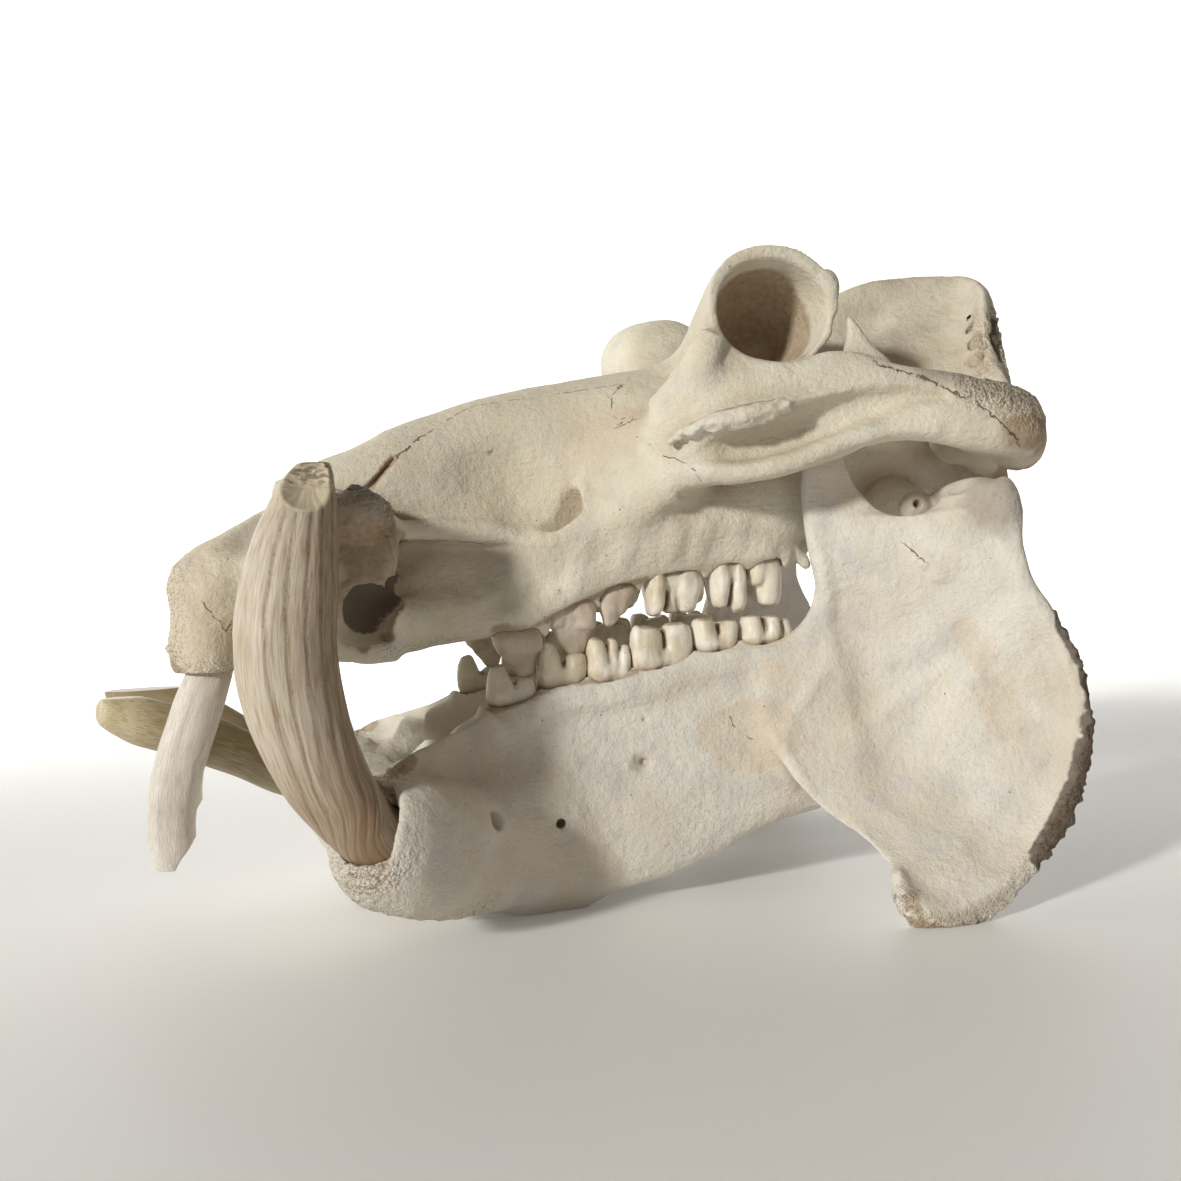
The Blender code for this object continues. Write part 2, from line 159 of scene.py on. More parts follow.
def lump(centre, radii):
    """An ellipsoid with its axes along x, y and z."""
    turn = np.linspace(-np.pi / 2 + 0.03, np.pi / 2 - 0.03, 24)[:, None, None]
    angle = np.linspace(0, 2 * np.pi, 40, endpoint=False)[None, :, None]
    rings = np.concatenate([np.cos(turn) * np.cos(angle), np.cos(turn) * np.sin(angle),
                            np.sin(turn) + 0 * angle], axis=2)
    return loft(rings * np.array(radii, float) + np.array(centre, float))


class Clay:
    """A block of voxels, each holding its distance to the skin of the forms pressed together in it.

    In a paired block, a form off the middle is pressed into the other side too, as its mirror image."""

    def __init__(self, low, high, grain, reach, paired=False):
        self.grain = grain
        self.reach = reach
        self.paired = paired
        self.start = np.floor(np.array(low) / grain).astype(int)
        size = np.ceil(np.array(high) / grain).astype(int) - self.start + 1
        self.depth = np.full(tuple(size), reach, np.float32)

    def press(self, block, start, blend, cut):
        """Join a block of distances with the clay's own, or cut it out, softly over the blend."""
        where = tuple(slice(a, a + n) for a, n in zip(start, block.shape))
        here = self.depth[where]
        sign = -1 if cut else 1
        share = np.clip(0.5 + 0.5 * (sign * here - block) / blend, 0, 1)
        self.depth[where] = sign * (sign * here * (1 - share) + block * share - blend * share * (1 - share))

    def add(self, form, blend=10.0, cut=False):
        """Press a form into the block, or cut it out, with a soft join as wide as the blend."""
        points, triangles, quads = form
        grid = openvdb.FloatGrid.createLevelSetFromPolygons(
            points.astype(np.float32), triangles.astype(np.uint32), quads.astype(np.uint32),
            openvdb.createLinearTransform(self.grain), self.reach / self.grain)
        low, high = (np.array(corner) for corner in grid.evalActiveVoxelBoundingBox())
        low = np.maximum(low, self.start)
        high = np.minimum(high, self.start + self.depth.shape - 1)
        block = np.empty(tuple(high - low + 1), np.float32)
        grid.copyToArray(block, ijk=tuple(int(i) for i in low))
        low -= self.start
        self.press(block, low, blend, cut)
        if self.paired and abs(points[:, 1].mean()) > 1:
            low[1] = self.depth.shape[1] - low[1] - block.shape[1]
            self.press(block[:, ::-1], low, blend, cut)

    def cut(self, form, blend):
        self.add(form, blend, cut=True)

    def depth_at(self, points):
        """The distance to the skin at any points, between the voxels too."""
        place = np.clip(points / self.grain - self.start, 0, np.array(self.depth.shape) - 1.001)
        cell = place.astype(int)
        t = place - cell
        total = np.zeros(len(points))
        for corner in np.ndindex(2, 2, 2):
            weight = np.prod(np.where(corner, t, 1 - t), axis=1)
            total += weight * self.depth[tuple((cell + corner).T)]
        return total

    def skin(self, name):
        """The clay's surface as a mesh, still in millimetres."""
        grid = openvdb.FloatGrid(self.reach)
        grid.copyFromArray(self.depth, ijk=tuple(int(i) for i in self.start))
        grid.transform = openvdb.createLinearTransform(self.grain)
        points, triangles, quads = grid.convertToPolygons()
        mesh = bpy.data.meshes.new(name)
        mesh.from_pydata(points.tolist(), [], triangles.tolist() + quads.tolist())
        loose = bmesh.new()
        loose.from_mesh(mesh)
        pieces = islands(loose)
        bmesh.ops.delete(loose, geom=[vert for piece in pieces[1:] for vert in piece], context="VERTS")
        bmesh.ops.recalc_face_normals(loose, faces=loose.faces)
        loose.to_mesh(mesh)
        loose.free()
        return mesh


def islands(mesh):
    """The mesh's separate bits, as lists of vertices, largest first."""
    seen = set()
    found = []
    for start in mesh.verts:
        if start in seen:
            continue
        seen.add(start)
        bit = [start]
        for vert in bit:
            for edge in vert.link_edges:
                other = edge.other_vert(vert)
                if other not in seen:
                    seen.add(other)
                    bit.append(other)
        found.append(bit)
    return sorted(found, key=len, reverse=True)


def mesh_values(mesh, name):
    """Every vertex's place (co) or normal, as rows of numbers."""
    values = np.empty(len(mesh.vertices) * 3, np.float32)
    mesh.vertices.foreach_get(name, values)
    return values.reshape(-1, 3).astype(float)


def skin_points(mesh):
    return mesh_values(mesh, "co"), mesh_values(mesh, "normal")


def set_points(mesh, points):
    mesh.vertices.foreach_set("co", points.astype(np.float32).ravel())
    mesh.update()


def lumpy(points, size, seed):
    """Soft noise from -1 to 1 over points in millimetres, with lumps of about the given size."""
    cells = 32
    table = np.random.default_rng(seed).uniform(-1, 1, (cells, cells, cells))
    place = points / size
    cell = np.floor(place).astype(int)
    t = place - cell
    t = t * t * (3 - 2 * t)
    total = np.zeros(len(points))
    for corner in np.ndindex(2, 2, 2):
        weight = np.prod(np.where(corner, t, 1 - t), axis=1)
        total += weight * table[tuple(((cell + corner) % cells).T)]
    return total


def way_to(points, path):
    """Each point's distance to a path through places in space."""
    path = np.array(path, float)
    if len(path) == 1:
        return np.linalg.norm(points - path[0], axis=1)
    best = np.full(len(points), np.inf)
    for start, end in zip(path, path[1:]):
        run = end - start
        t = np.clip((points - start) @ run / (run @ run), 0, 1)
        best = np.minimum(best, np.linalg.norm(points - start - t[:, None] * run, axis=1))
    return best


def fade(distance, full, none):
    """1 up to the distance full, 0 from none on, and soft between."""
    t = np.clip((none - distance) / (none - full), 0, 1)
    return t * t * (3 - 2 * t)


def on_one_side(points):
    """The points of both sides, all with y above 0."""
    return points * (1, 0, 1) + np.abs(points) * (0, 1, 0)


def zones(points, rows):
    """How far each point lies in any of the zones: rows of a path, its full width and its last width."""
    points = on_one_side(points)
    return np.max([fade(way_to(points, path), full, none) for path, full, none in rows], axis=0)


def dots(a, b):
    """The dot product of each pair of rows."""
    return np.einsum("ij,ij->i", a, b)


def seam_marks(points, normals, seams, reach=9.0):
    """The signed distance across the nearest seam and the plain one to it, in widths of that seam."""
    normals = normals * np.where(points[:, 1:2] < 0, (1, -1, 1), 1)
    points = on_one_side(points)
    across = np.full(len(points), reach)
    near = np.full(len(points), reach)
    for width, path in seams:
        path = np.array(path, float)
        for start, end in zip(path, path[1:]):
            run = end - start
            t = np.clip((points - start) @ run / (run @ run), 0, 1)
            offset = points - start - t[:, None] * run
            distance = np.linalg.norm(offset, axis=1) / width
            side = np.sign(dots(np.cross(run, normals), offset))
            closer = distance < near
            near[closer] = distance[closer]
            across[closer] = (side * distance)[closer]
    return across, near


def thinned(mesh, most):
    """The same mesh with at most so many triangles, fewest where it is flat."""
    count = sum(len(face.vertices) - 2 for face in mesh.polygons)
    if count <= most:
        return mesh
    thing = new_object("thinning", mesh)
    modifier = thing.modifiers.new("Thin", "DECIMATE")
    modifier.ratio = most / count
    bpy.context.view_layer.update()
    thin = bpy.data.meshes.new_from_object(thing.evaluated_get(bpy.context.evaluated_depsgraph_get()))
    bpy.data.objects.remove(thing)
    return thin


def place_piece(mesh, name, node, paint, marks, spare=BOX_SPARE):
    """Put a finished mesh into the frame, with its marks as attributes, in place of its node."""
    for mark, values in marks.items():
        attribute = mesh.attributes.new(mark, "FLOAT", "POINT")
        attribute.data.foreach_set("value", values.astype(np.float32))
    low, high = (np.array(corner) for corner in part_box(node))
    set_points(mesh, np.clip(to_frame(mesh_values(mesh, "co")), low - spare, high + spare))
    mesh.polygons.foreach_set("use_smooth", np.ones(len(mesh.polygons), bool))
    mesh.update()
    mesh.materials.append(paint)
    piece = new_object(name, mesh)
    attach(piece, "root")
    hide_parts(node)


class Paint:
    """One socket of a material's nodes. Arithmetic on it adds Math nodes."""

    def __init__(self, tree, socket):
        self.tree = tree
        self.socket = socket

    def node(self, kind, values, out=0, **settings):
        """Any node: its settings first, then the values or links of its sockets."""
        made = self.tree.nodes.new("ShaderNode" + kind)
        for name, setting in settings.items():
            setattr(made, name, setting)
        for name, value in values.items():
            socket = made.inputs[name]
            if isinstance(value, Paint):
                self.tree.links.new(value.socket, socket)
            elif socket.type == "RGBA":
                socket.default_value = (*value, 1.0)
            else:
                socket.default_value = value
        return Paint(self.tree, made.outputs[out])

    def reckon(self, operation, *values):
        return self.node("Math", dict(enumerate(values)), operation=operation)

    def __add__(self, other):
        return self.reckon("ADD", self, other)

    def __sub__(self, other):
        return self.reckon("SUBTRACT", self, other)

    def __rsub__(self, other):
        return self.reckon("SUBTRACT", other, self)

    def __mul__(self, other):
        return self.reckon("MULTIPLY", self, other)

    __radd__ = __add__
    __rmul__ = __mul__

    def rise(self, low, high):
        """0 below low, 1 above high and soft between; the other way round where low is the larger."""
        return self.node("MapRange", {"Value": self, "From Min": low, "From Max": high},
                         interpolation_type="SMOOTHSTEP")

    def stretched(self, scale):
        return self.node("VectorMath", {0: self, 1: scale}, operation="MULTIPLY")

    def noise(self, size, seed, detail=3.0):
        """Noise from 0 to 1 with patches of the given size in millimetres."""
        moved = self.node("VectorMath", {0: self, 1: (size * seed, 0, 0)}, operation="ADD")
        return self.node("TexNoise", {"Vector": moved, "Scale": 1 / size, "Detail": detail})

    def cells(self, size):
        """The distance from the middle of the nearest of many cells, 0 to about 1."""
        return self.node("TexVoronoi", {"Vector": self, "Scale": 1 / size})

    def over(self, below, colour):
        """A colour laid over another with this socket as its share."""
        return self.node("Mix", {0: self, 6: below, 7: colour}, 2, data_type="RGBA")


def layered(colour, *layers):
    """A ground colour under layers of paint, each a share and a colour, the lowest first."""
    for share, layer in layers:
        colour = share.over(colour, layer)
    return colour


def new_paint(name):
    """A new material: the place on it in millimetres, a reader of marks, and a function that ends it."""
    material = bpy.data.materials.new(name)
    material.use_nodes = True
    tree = material.node_tree
    shader = tree.nodes["Principled BSDF"]
    object_place = Paint(tree, tree.nodes.new("ShaderNodeTexCoord").outputs["Object"])
    place = object_place.stretched((1 / MM,) * 3)

    def mark(name):
        return place.node("Attribute", {}, 2, attribute_name=name)

    def finish(colour, roughness, height, specular=0.4):
        tree.links.new(colour.socket, shader.inputs["Base Color"])
        tree.links.new(roughness.socket, shader.inputs["Roughness"])
        bump = place.node("Bump", {"Height": height, "Distance": MM})
        tree.links.new(bump.socket, shader.inputs["Normal"])
        shader.inputs["Specular IOR Level"].default_value = specular
        return material

    return place, mark, finish


def bone_paint(name, cream, tan, cool, warm, seed):
    """Dry bone: mottled, brown with dirt and painted shade in its hollows, pitted or pebbly in places, with
    seams and pin holes.
    """
    umber = (0.085, 0.047, 0.024)
    place, mark, finish = new_paint(name)
    broad = place.noise(95, seed, 2.0)
    middling = place.noise(24, seed + 1)
    small = place.noise(5, seed + 2)
    specks = place.noise(1.5, seed + 3, 2.0)
    streaks = place.stretched((0.12, 1, 1)).noise(2.4, seed + 4, 2.0)
    porous = mark("porous")
    pebbly = mark("pebbly")
    ragged = small * 0.5 + middling * 0.9
    rosy = (mark("rosy") * 1.1 + ragged - 0.7).rise(0.2, 0.9)
    grey = (mark("grey") * 1.3 + ragged - 0.7).rise(0.1, 1.2)
    # Brown stains, with painted shade too in the eye sockets, on the tusk swellings and over the jaw's
    # hinges.
    stain_and_shade = (mark("stain_and_shade") * 1.4 + ragged - 0.9).rise(0.1, 0.9)
    # Near-black paint: painted shade in deep openings, and dark stain on rough broken rims.
    dark_stain_and_shade = (mark("dark_stain_and_shade") * 1.5 + small - 0.8).rise(0.1, 0.8)
    speckle = porous * place.cells(1.7).rise(0.42, 0.15) * 0.6
    pebbles = place.cells(2.6)
    across = mark("seam_across") + (place.noise(4, seed + 6, 2.0) * 5.0 - 2.5)
    seam = across.reckon("ABSOLUTE", across).rise(0.85, 0.25) * mark("seam_near").rise(4.5, 3.0)
    seam = seam * place.noise(7, seed + 7).rise(0.38, 0.5)
    pins = place.cells(19).rise(0.034, 0.02)
    colour = layered(
        cream, (broad.rise(0.42, 0.62), tan), (middling.rise(0.48, 0.7) * 0.6, cool),
        (place.noise(46, seed + 5).rise(0.53, 0.68) * 0.6, warm), (small.rise(0.5, 0.76) * 0.4, tan),
        (specks.rise(0.58, 0.76) * 0.32, (0.40, 0.29, 0.18)), (mark("edge") * 0.4, (0.84, 0.79, 0.69)),
        (rosy * (0.2 + 0.4 * small), (0.66, 0.52, 0.37)), (grey * 0.75, (0.36, 0.31, 0.26)),
        (mark("pale") * (0.4 + 0.5 * small), (0.84, 0.80, 0.72)),
        (mark("hollow_dirt_and_shade") * (0.25 + 0.6 * middling), (0.28, 0.18, 0.10)),
        (stain_and_shade * (0.35 + 0.6 * small), (0.33, 0.21, 0.11)), (dark_stain_and_shade * 0.85, (0.10, 0.075, 0.055)),
        (speckle * 0.8, umber), (pebbly * pebbles.rise(0.5, 0.85) * 0.6, (0.28, 0.19, 0.11)),
        (seam * 0.8, umber), (pins * 0.85, umber))
    height = (small * 1.3 + streaks * 0.6 + specks * 0.5 + porous * (small * 1.8 + specks * 0.8)
              - speckle * 1.2 - pebbly * pebbles * 1.6 - seam * 0.8 - pins * 0.6)
    return finish(colour, 0.6 + 0.2 * small, height)


# The left tusk's and front tooth's middle lines, root to tip: x, y, z, width across and depth. Of each
# cheek tooth: its name, its front and rear x, its outer side's distance from the middle, its width, and
# the heights of its neck and tip. The same rows shape the teeth further down.
TUSK = [(146, -118, 62, 46, 54), (128, -137, 77, 50, 62), (106, -151, 97, 52, 66), (91, -159, 122, 51, 65),
    (78, -165, 152, 50, 63), (70, -168, 184, 50, 63), (68, -168, 214, 48, 62), (71, -165, 244, 47, 60),
    (76, -160, 272, 46, 53), (81, -156, 292, 43, 44), (85, -153, 306, 39, 36), (90, -150, 319, 30, 25),
    (93, -149, 326, 19, 16)]
LOWER_INCISOR = [(92, -35, 107, 36, 36), (60, -35, 119, 38, 38), (26, -34, 137, 38, 38),
    (-14, -34, 153, 36, 37), (-34, -34, 160, 34, 35), (-46, -34, 165, 28, 29), (-53, -34, 166, 19, 20),
    (-56, -34, 167, 9, 9)]
LOWER_CHEEK_TEETH = [
    ("premolar_2", 213, 249, 73, 23, 156, 184), ("premolar_3", 251, 286, 75, 25, 168, 199),
    ("premolar_4", 288, 319, 79, 28, 170, 201), ("molar_1", 322, 368, 83, 31, 178, 209),
    ("molar_2", 371, 404, 87, 34, 188, 211), ("molar_3", 407, 447, 92, 34, 191, 212)]
SOCKET_ROOM = 0.8


def middle_line(rows):
    """A long tooth's smoothed rows, with the directions ahead, to its front face and outwards at each."""
    rows = smooth_rows(rows, 8)
    ahead = unit(np.gradient(rows[:, :3], axis=0))
    front = np.array((-1.0, 0, 0))
    fore = unit(front - ahead * ahead @ front[:, None])
    return rows, ahead, fore, np.cross(ahead, fore)


def tooth_tube(rows, room=0.0, squareness=2.2):
    """The form of a long curved tooth, or of its socket where room is left round it."""
    rows, ahead, fore, out = middle_line(rows)
    return loft(ovals(rows[:, :3], fore * (rows[:, 4:5] / 2 + room), out * (rows[:, 3:4] / 2 + room),
                      squareness, 96))


def cheek_socket(tooth):
    """A rounded box round a cheek tooth's neck and root, flared a little at the bone's edge."""
    front, rear, outer, width, neck, tip = tooth[1:]
    rise = math.copysign(1.0, tip - neck)
    steps = ((-15, SOCKET_ROOM - 3), (-6, SOCKET_ROOM - 1), (1, SOCKET_ROOM), (9, 3.0))
    rows = np.array([((front + rear) / 2, width / 2 - outer, neck + step * rise, width + 2 * room,
                      rear - front + 2 * room) for step, room in steps])
    return loft(ovals(rows[:, :3], rows[:, 4:5] / 2 * (1.0, 0, 0), rows[:, 3:4] / 2 * (0, 1.0, 0), 2.5, 48))


def gum_edge(teeth):
    """The edge of bone along a row of cheek teeth, a little wider than their necks."""
    rows = []
    for _, front, rear, outer, width, neck, tip in teeth:
        away = math.copysign(1.0, neck - tip)
        rows.append(((front + rear) / 2, width / 2 - outer, neck + 11 * away, width + 13, 25))
    first = (teeth[0][1] - 6, rows[0][1], rows[0][2], 14, 20)
    last = (teeth[-1][2] + 7, rows[-1][1], rows[-1][2], 16, 20)
    return limb([first] + rows + [last], squareness=2.8)


jaw = Clay((20, -222, -12), (640, 222, 366), BONE_GRAIN, CLAY_REACH, paired=True)
# The chin, joined across the middle and sloping back below, and the swelling round each tusk
jaw.add(limb([(80, 0, 117, 104, 28), (90, 0, 111, 160, 42), (105, 0, 98, 244, 64), (126, 0, 82, 280, 84),
    (152, 0, 66, 236, 92), (182, 0, 54, 190, 90), (214, 0, 46, 160, 84)], squareness=2.6))
jaw.add(limb([(109, -144, 90, 76, 66), (126, -139, 80, 82, 86), (150, -124, 70, 80, 92),
    (176, -103, 61, 66, 91), (206, -86, 57, 48, 90), (240, -72, 60, 36, 90), (270, -64, 66, 30, 84)]), 18)
jaw.add(limb([(78, -34, 113, 40, 40), (94, -36, 109, 52, 54), (130, -40, 96, 56, 60)]), 12)
# The body that holds the cheek teeth, with a knuckled upper edge
jaw.add(limb([(146, -82, 88, 56, 104), (178, -74, 74, 50, 122), (214, -64, 76, 40, 148),
    (250, -60, 79, 40, 170), (290, -62, 88, 42, 160), (330, -66, 95, 44, 158), (370, -70, 108, 46, 154),
    (410, -76, 118, 48, 138), (446, -88, 126, 46, 132), (480, -108, 132, 36, 120)], squareness=2.7), 16)
jaw.add(gum_edge(LOWER_CHEEK_TEETH), 8)
for tooth in LOWER_CHEEK_TEETH:
    jaw.add(lump((tooth[2] + 1, 8 - tooth[3], tooth[5] - 4), (6, 9, 9)), 8)
# The thin crest along the gap behind the tusk
jaw.add(limb([(132, -118, 104, 18, 22), (150, -110, 116, 12, 26), (178, -92, 126, 9, 26),
    (200, -80, 132, 9, 28), (216, -74, 142, 12, 24)]), 8)
# The rising plate with its flared corner, hollow on its outer side
jaw.add(plate([(-4, 472, -205, 520, -211, 12, 0), (14, 463, -200, 541, -211, 16, 2),
    (34, 467, -187, 565, -209, 16, 5), (52, 461, -162, 587, -208, 16, 8), (76, 436, -134, 604, -206, 16, 11),
    (110, 420, -112, 616, -204, 16, 14), (140, 416, -102, 621, -202, 16, 14),
    (172, 424, -98, 614, -199, 15, 12), (200, 446, -100, 600, -195, 15, 9),
    (225, 462, -108, 584, -191, 14, 6), (250, 459, -111, 577, -186, 13, 3),
    (268, 455, -112, 578, -183, 11, 2), (281, 455, -112, 580, -182, 6, 1)]), 22)
jaw.add(limb([(467, -194, 34, 4, 6), (468, -201, 22, 9, 10), (478, -206, 12, 13, 12), (498, -209, 7, 15, 13),
    (522, -209, 12, 15, 12), (550, -207, 28, 15, 12), (580, -205, 54, 15, 12), (602, -203, 88, 15, 12),
    (613, -201, 124, 15, 12), (610, -199, 160, 14, 12), (599, -195, 196, 11, 9), (583, -189, 226, 8, 8),
    (576, -186, 248, 5, 6)]), 12)
# The tip in front of the notch, with a thickened front edge, and the jaw's hinge behind it
jaw.add(plate([(232, 470, -115, 508, -136, 2, 2), (256, 460, -112, 511, -137, 9, 2),
    (276, 454, -112, 506, -134, 10, 2), (300, 449, -113, 489, -124, 9, 1), (322, 449, -115, 479, -122, 9, 0),
    (342, 455, -118, 478, -122, 8, 0), (354, 464, -120, 476, -121, 6, 0)]), 12)
jaw.add(limb([(440, -94, 160, 10, 10), (450, -100, 180, 12, 12), (459, -105, 206, 12, 13),
    (463, -108, 232, 12, 13), (457, -111, 262, 11, 12), (451, -113, 296, 10, 10),
    (452, -115, 322, 9, 9)]), 10)
jaw.add(plate([(236, 534, -155, 576, -183, 2, 2), (258, 525, -148, 581, -184, 12, 2),
    (278, 529, -146, 582, -181, 15, 1), (294, 542, -147, 583, -177, 17, 0)]), 12)
jaw.add(limb([(566, -110, 294, 20, 18), (567, -138, 296, 27, 22), (567, -164, 296, 26, 21),
    (566, -184, 291, 17, 15)]), 9)
jaw.add(lump((572, -180, 286), (11, 10, 20)), 6)
jaw.add(lump((544, -108, 289), (15, 9, 13)), 6)
jaw.cut(lump((541, -118, 291), (3.2, 12, 3.2)), 1.5)
# The tongue's trough behind the front teeth, the slanting rim round each tusk, the sockets, and the
# nerve holes on the outer side
jaw.cut(limb([(70, 0, 150, 60, 30), (120, 0, 142, 96, 50), (170, 0, 130, 92, 66), (240, 0, 104, 84, 90)]), 12)
jaw.cut(limb([(97, -144, 86, 86, 82), (92, -154, 98, 88, 84), (83, -174, 124, 94, 90)]), 4)
jaw.cut(tooth_tube(TUSK, SOCKET_ROOM), 2.5)
jaw.cut(tooth_tube(LOWER_INCISOR, SOCKET_ROOM), 2.5)
for tooth in LOWER_CHEEK_TEETH:
    jaw.cut(cheek_socket(tooth), 2.5)
jaw.cut(lump((206, -114, 81), (12, 6, 7)), 2.5)
jaw.cut(lump((258, -80, 68), (4.5, 8, 3.6)), 2)
jaw.cut(lump((321, -91, 107), (8, 8, 8)), 4)
jaw.cut(lump((324, -88, 107), (3, 8, 3)), 1.5)
jaw.cut(lump((325, -90, 139), (1.8, 8, 1.8)), 1)

# Zones: a path along the bone, the distance to it where the zone is full, and where it ends. The rows
# of relief are as relief() says, and a seam has its width in millimetres and its path.
RIM_FRONT = [(131, 112, 118), (138, 136, 112), (138, 150, 104), (131, 163, 92), (111, 171, 79),
    (94, 170, 72), (82, 165, 73)]
FLARE_FOOT = [(466, 200, 20), (470, 207, 6), (490, 213, 0), (514, 212, 3), (540, 211, 16), (561, 210, 31)]
FLARE_EDGE = [(568, 212, 38), (586, 210, 58), (605, 208, 86), (616, 206, 117), (621, 204, 138),
    (617, 202, 170), (604, 198, 202)]
JAW_ZONES = {
    "porous": [([(89, 150, 58), (103, 130, 43), (130, 112, 26), (170, 96, 12)], 10, 60), (FLARE_FOOT, 3, 14),
        (FLARE_EDGE, 3, 8)],
    "pebbly": [(RIM_FRONT, 10, 15), ([(84, 162, 62), (104, 166, 58), (126, 172, 70), (142, 162, 84)], 6, 16),
        ([(100, 140, 44), (150, 124, 30), (190, 104, 20)], 4, 30)],
    "rim": [(RIM_FRONT, 5, 11)],
    "pale": [(RIM_FRONT, 3, 12), ([(500, 208, 18), (540, 206, 34), (574, 204, 66)], 8, 24)],
    # Stains, with painted shade along the flare's rear edge.
    "stain_and_shade": [(FLARE_FOOT, 1, 8), (FLARE_EDGE, 3, 7), ([(138, 120, 121), (146, 112, 126)], 4, 11),
        ([(213, 73, 152), (249, 74, 160), (286, 76, 167), (320, 80, 173)], 1, 7),
        ([(469, 205, 20), (474, 208, 10)], 2, 9)],
    # The flare's rear edge is painted near black: rough dark stain, and painted shade on its side turned from
    # the light.
    "dark_stain_and_shade": [(FLARE_EDGE, 6, 12)],
    "gnarled": [(FLARE_FOOT, 4, 12), (FLARE_EDGE, 7, 13)],
    "rosy": [([(377, 94, 124), (396, 97, 135), (415, 109, 138), (426, 118, 124), (409, 101, 108),
        (388, 96, 111)], 8, 18), ([(560, 174, 150), (572, 180, 130)], 3, 26),
        ([(545, 166, 196), (556, 172, 176)], 2, 20), ([(420, 100, 168), (440, 104, 160)], 2, 20),
        ([(540, 208, 36), (556, 206, 46)], 4, 18)],
    "grey": [(FLARE_EDGE, 3, 8), ([(560, 184, 290)], 6, 40)]}
JAW_RELIEF = [(60, [(576, 206), (554, 166), (543, 138), (522, 106), (508, 84)], 2, 26, 3.2),
    (60, [(490, 136), (512, 151), (540, 172)], 1, 10, 1.3), (60, [(494, 92), (508, 82)], 4, 34, -3.0),
    (60, [(474, 214), (470, 150)], 6, 30, -2.0), (60, [(590, 110), (578, 70), (540, 40)], 4, 24, -2.2),
    (60, [(457, 250), (464, 214), (460, 176), (440, 150), (420, 120), (432, 84)], 1, 9, 1.6),
    (60, [(512, 258), (520, 246)], 1, 6, 1.6), (60, [(520, 250), (530, 236)], 1, 6, 1.4),
    (60, [(440, 60), (462, 70), (474, 54)], 2, 18, -1.5), (60, [(150, 150), (230, 108)], 6, 40, -1.4)]
JAW_SEAMS = [(1.0, [(505, 149, 263), (512, 153, 255), (520, 157, 247)]),
    (0.6, [(478, 128, 186), (498, 139, 186)]), (0.7, [(540, 170, 214), (549, 176, 204), (556, 181, 190)]),
    (0.6, [(388, 96, 137), (392, 98, 128), (404, 101, 120)]), (0.5, [(199, 119, 77), (201, 117, 70)])]


BONE_MARKS = ("porous", "pebbly", "stain_and_shade", "rosy", "grey", "pale", "dark_stain_and_shade")


def crowding(clay, points, normals, reach):
    """How near other bone is over each point, 0 to 1, or how thin it is beneath where reach is below 0."""
    return np.clip(1 - clay.depth_at(points + normals * reach) / reach, 0, 1)


def bone_marks(mesh, clay, marked, seams):
    """The marks that the bone's paint reads at every vertex."""
    points, normals = skin_points(mesh)
    across, near = seam_marks(points, normals, seams)
    # Dirt and painted shade: where other bone stands close over a point, the bone is painted browner, so
    # creases and recesses darken in colour as well as in light.
    hollow_dirt_and_shade = crowding(clay, points, normals, 9) * 0.7 + crowding(clay, points, normals, 20) * 0.5
    marks = {name: zones(points, marked[name]) for name in BONE_MARKS}
    return {**marks, "seam_across": across, "seam_near": near, "hollow_dirt_and_shade": np.clip(hollow_dirt_and_shade, 0, 1),
            "edge": crowding(clay, points, normals, -6)}


def relief(points, normals, rows):
    """Soft ridges, or hollows where the height is below 0, along paths seen square on from the side.

    Each row has the least distance from the middle, a path in x and z, the width where the ridge is
    full, the width where it ends, and its height."""
    push = np.zeros(len(points))
    for least, path, full, none, height in rows:
        seen = np.array([(x, 0, z) for x, z in path], float)
        push += height * fade(way_to(points * (1, 0, 1), seen), full, none) * (np.abs(points[:, 1]) > least)
    return push * np.clip(normals[:, 1] * np.sign(points[:, 1]) * 1.5, 0, 1)


def weathered(clay, name, marked, reliefs, seed):
    """The clay's skin, gently uneven all over, rough in its zones and thinned to its triangles."""
    mesh = clay.skin(name)
    points, normals = skin_points(mesh)
    rough = np.maximum(zones(points, marked["porous"]), zones(points, marked["pebbly"]))
    knobs = 2.1 * lumpy(points, 5, seed + 6) + 1.3 * lumpy(points, 2.6, seed + 7)
    push = (1.1 * lumpy(points, 55, seed) + 0.8 * lumpy(points, 24, seed + 1)
            + 0.4 * lumpy(points, 9, seed + 2)
            + rough * (1.0 * lumpy(points, 7, seed + 3) + 0.8 * lumpy(points, 3.6, seed + 4))
            + zones(points, marked["rim"]) * (4.4 * np.abs(lumpy(points * (1, 0.4, 1), 5, seed + 5)) - 1.8)
            + zones(points, marked["gnarled"]) * knobs + relief(points, normals, reliefs))
    set_points(mesh, points + normals * push[:, None])
    return thinned(mesh, BONE_TRIANGLES)


jaw_mesh = weathered(jaw, "mandible", JAW_ZONES, JAW_RELIEF, 1)
jaw_paint = bone_paint("mandible bone", (0.78, 0.75, 0.68), (0.70, 0.65, 0.55), (0.63, 0.63, 0.62),
                       (0.76, 0.70, 0.58), 3.0)
place_piece(jaw_mesh, "mandible_bone", "mandible", jaw_paint,
            bone_marks(jaw_mesh, jaw, JAW_ZONES, JAW_SEAMS))


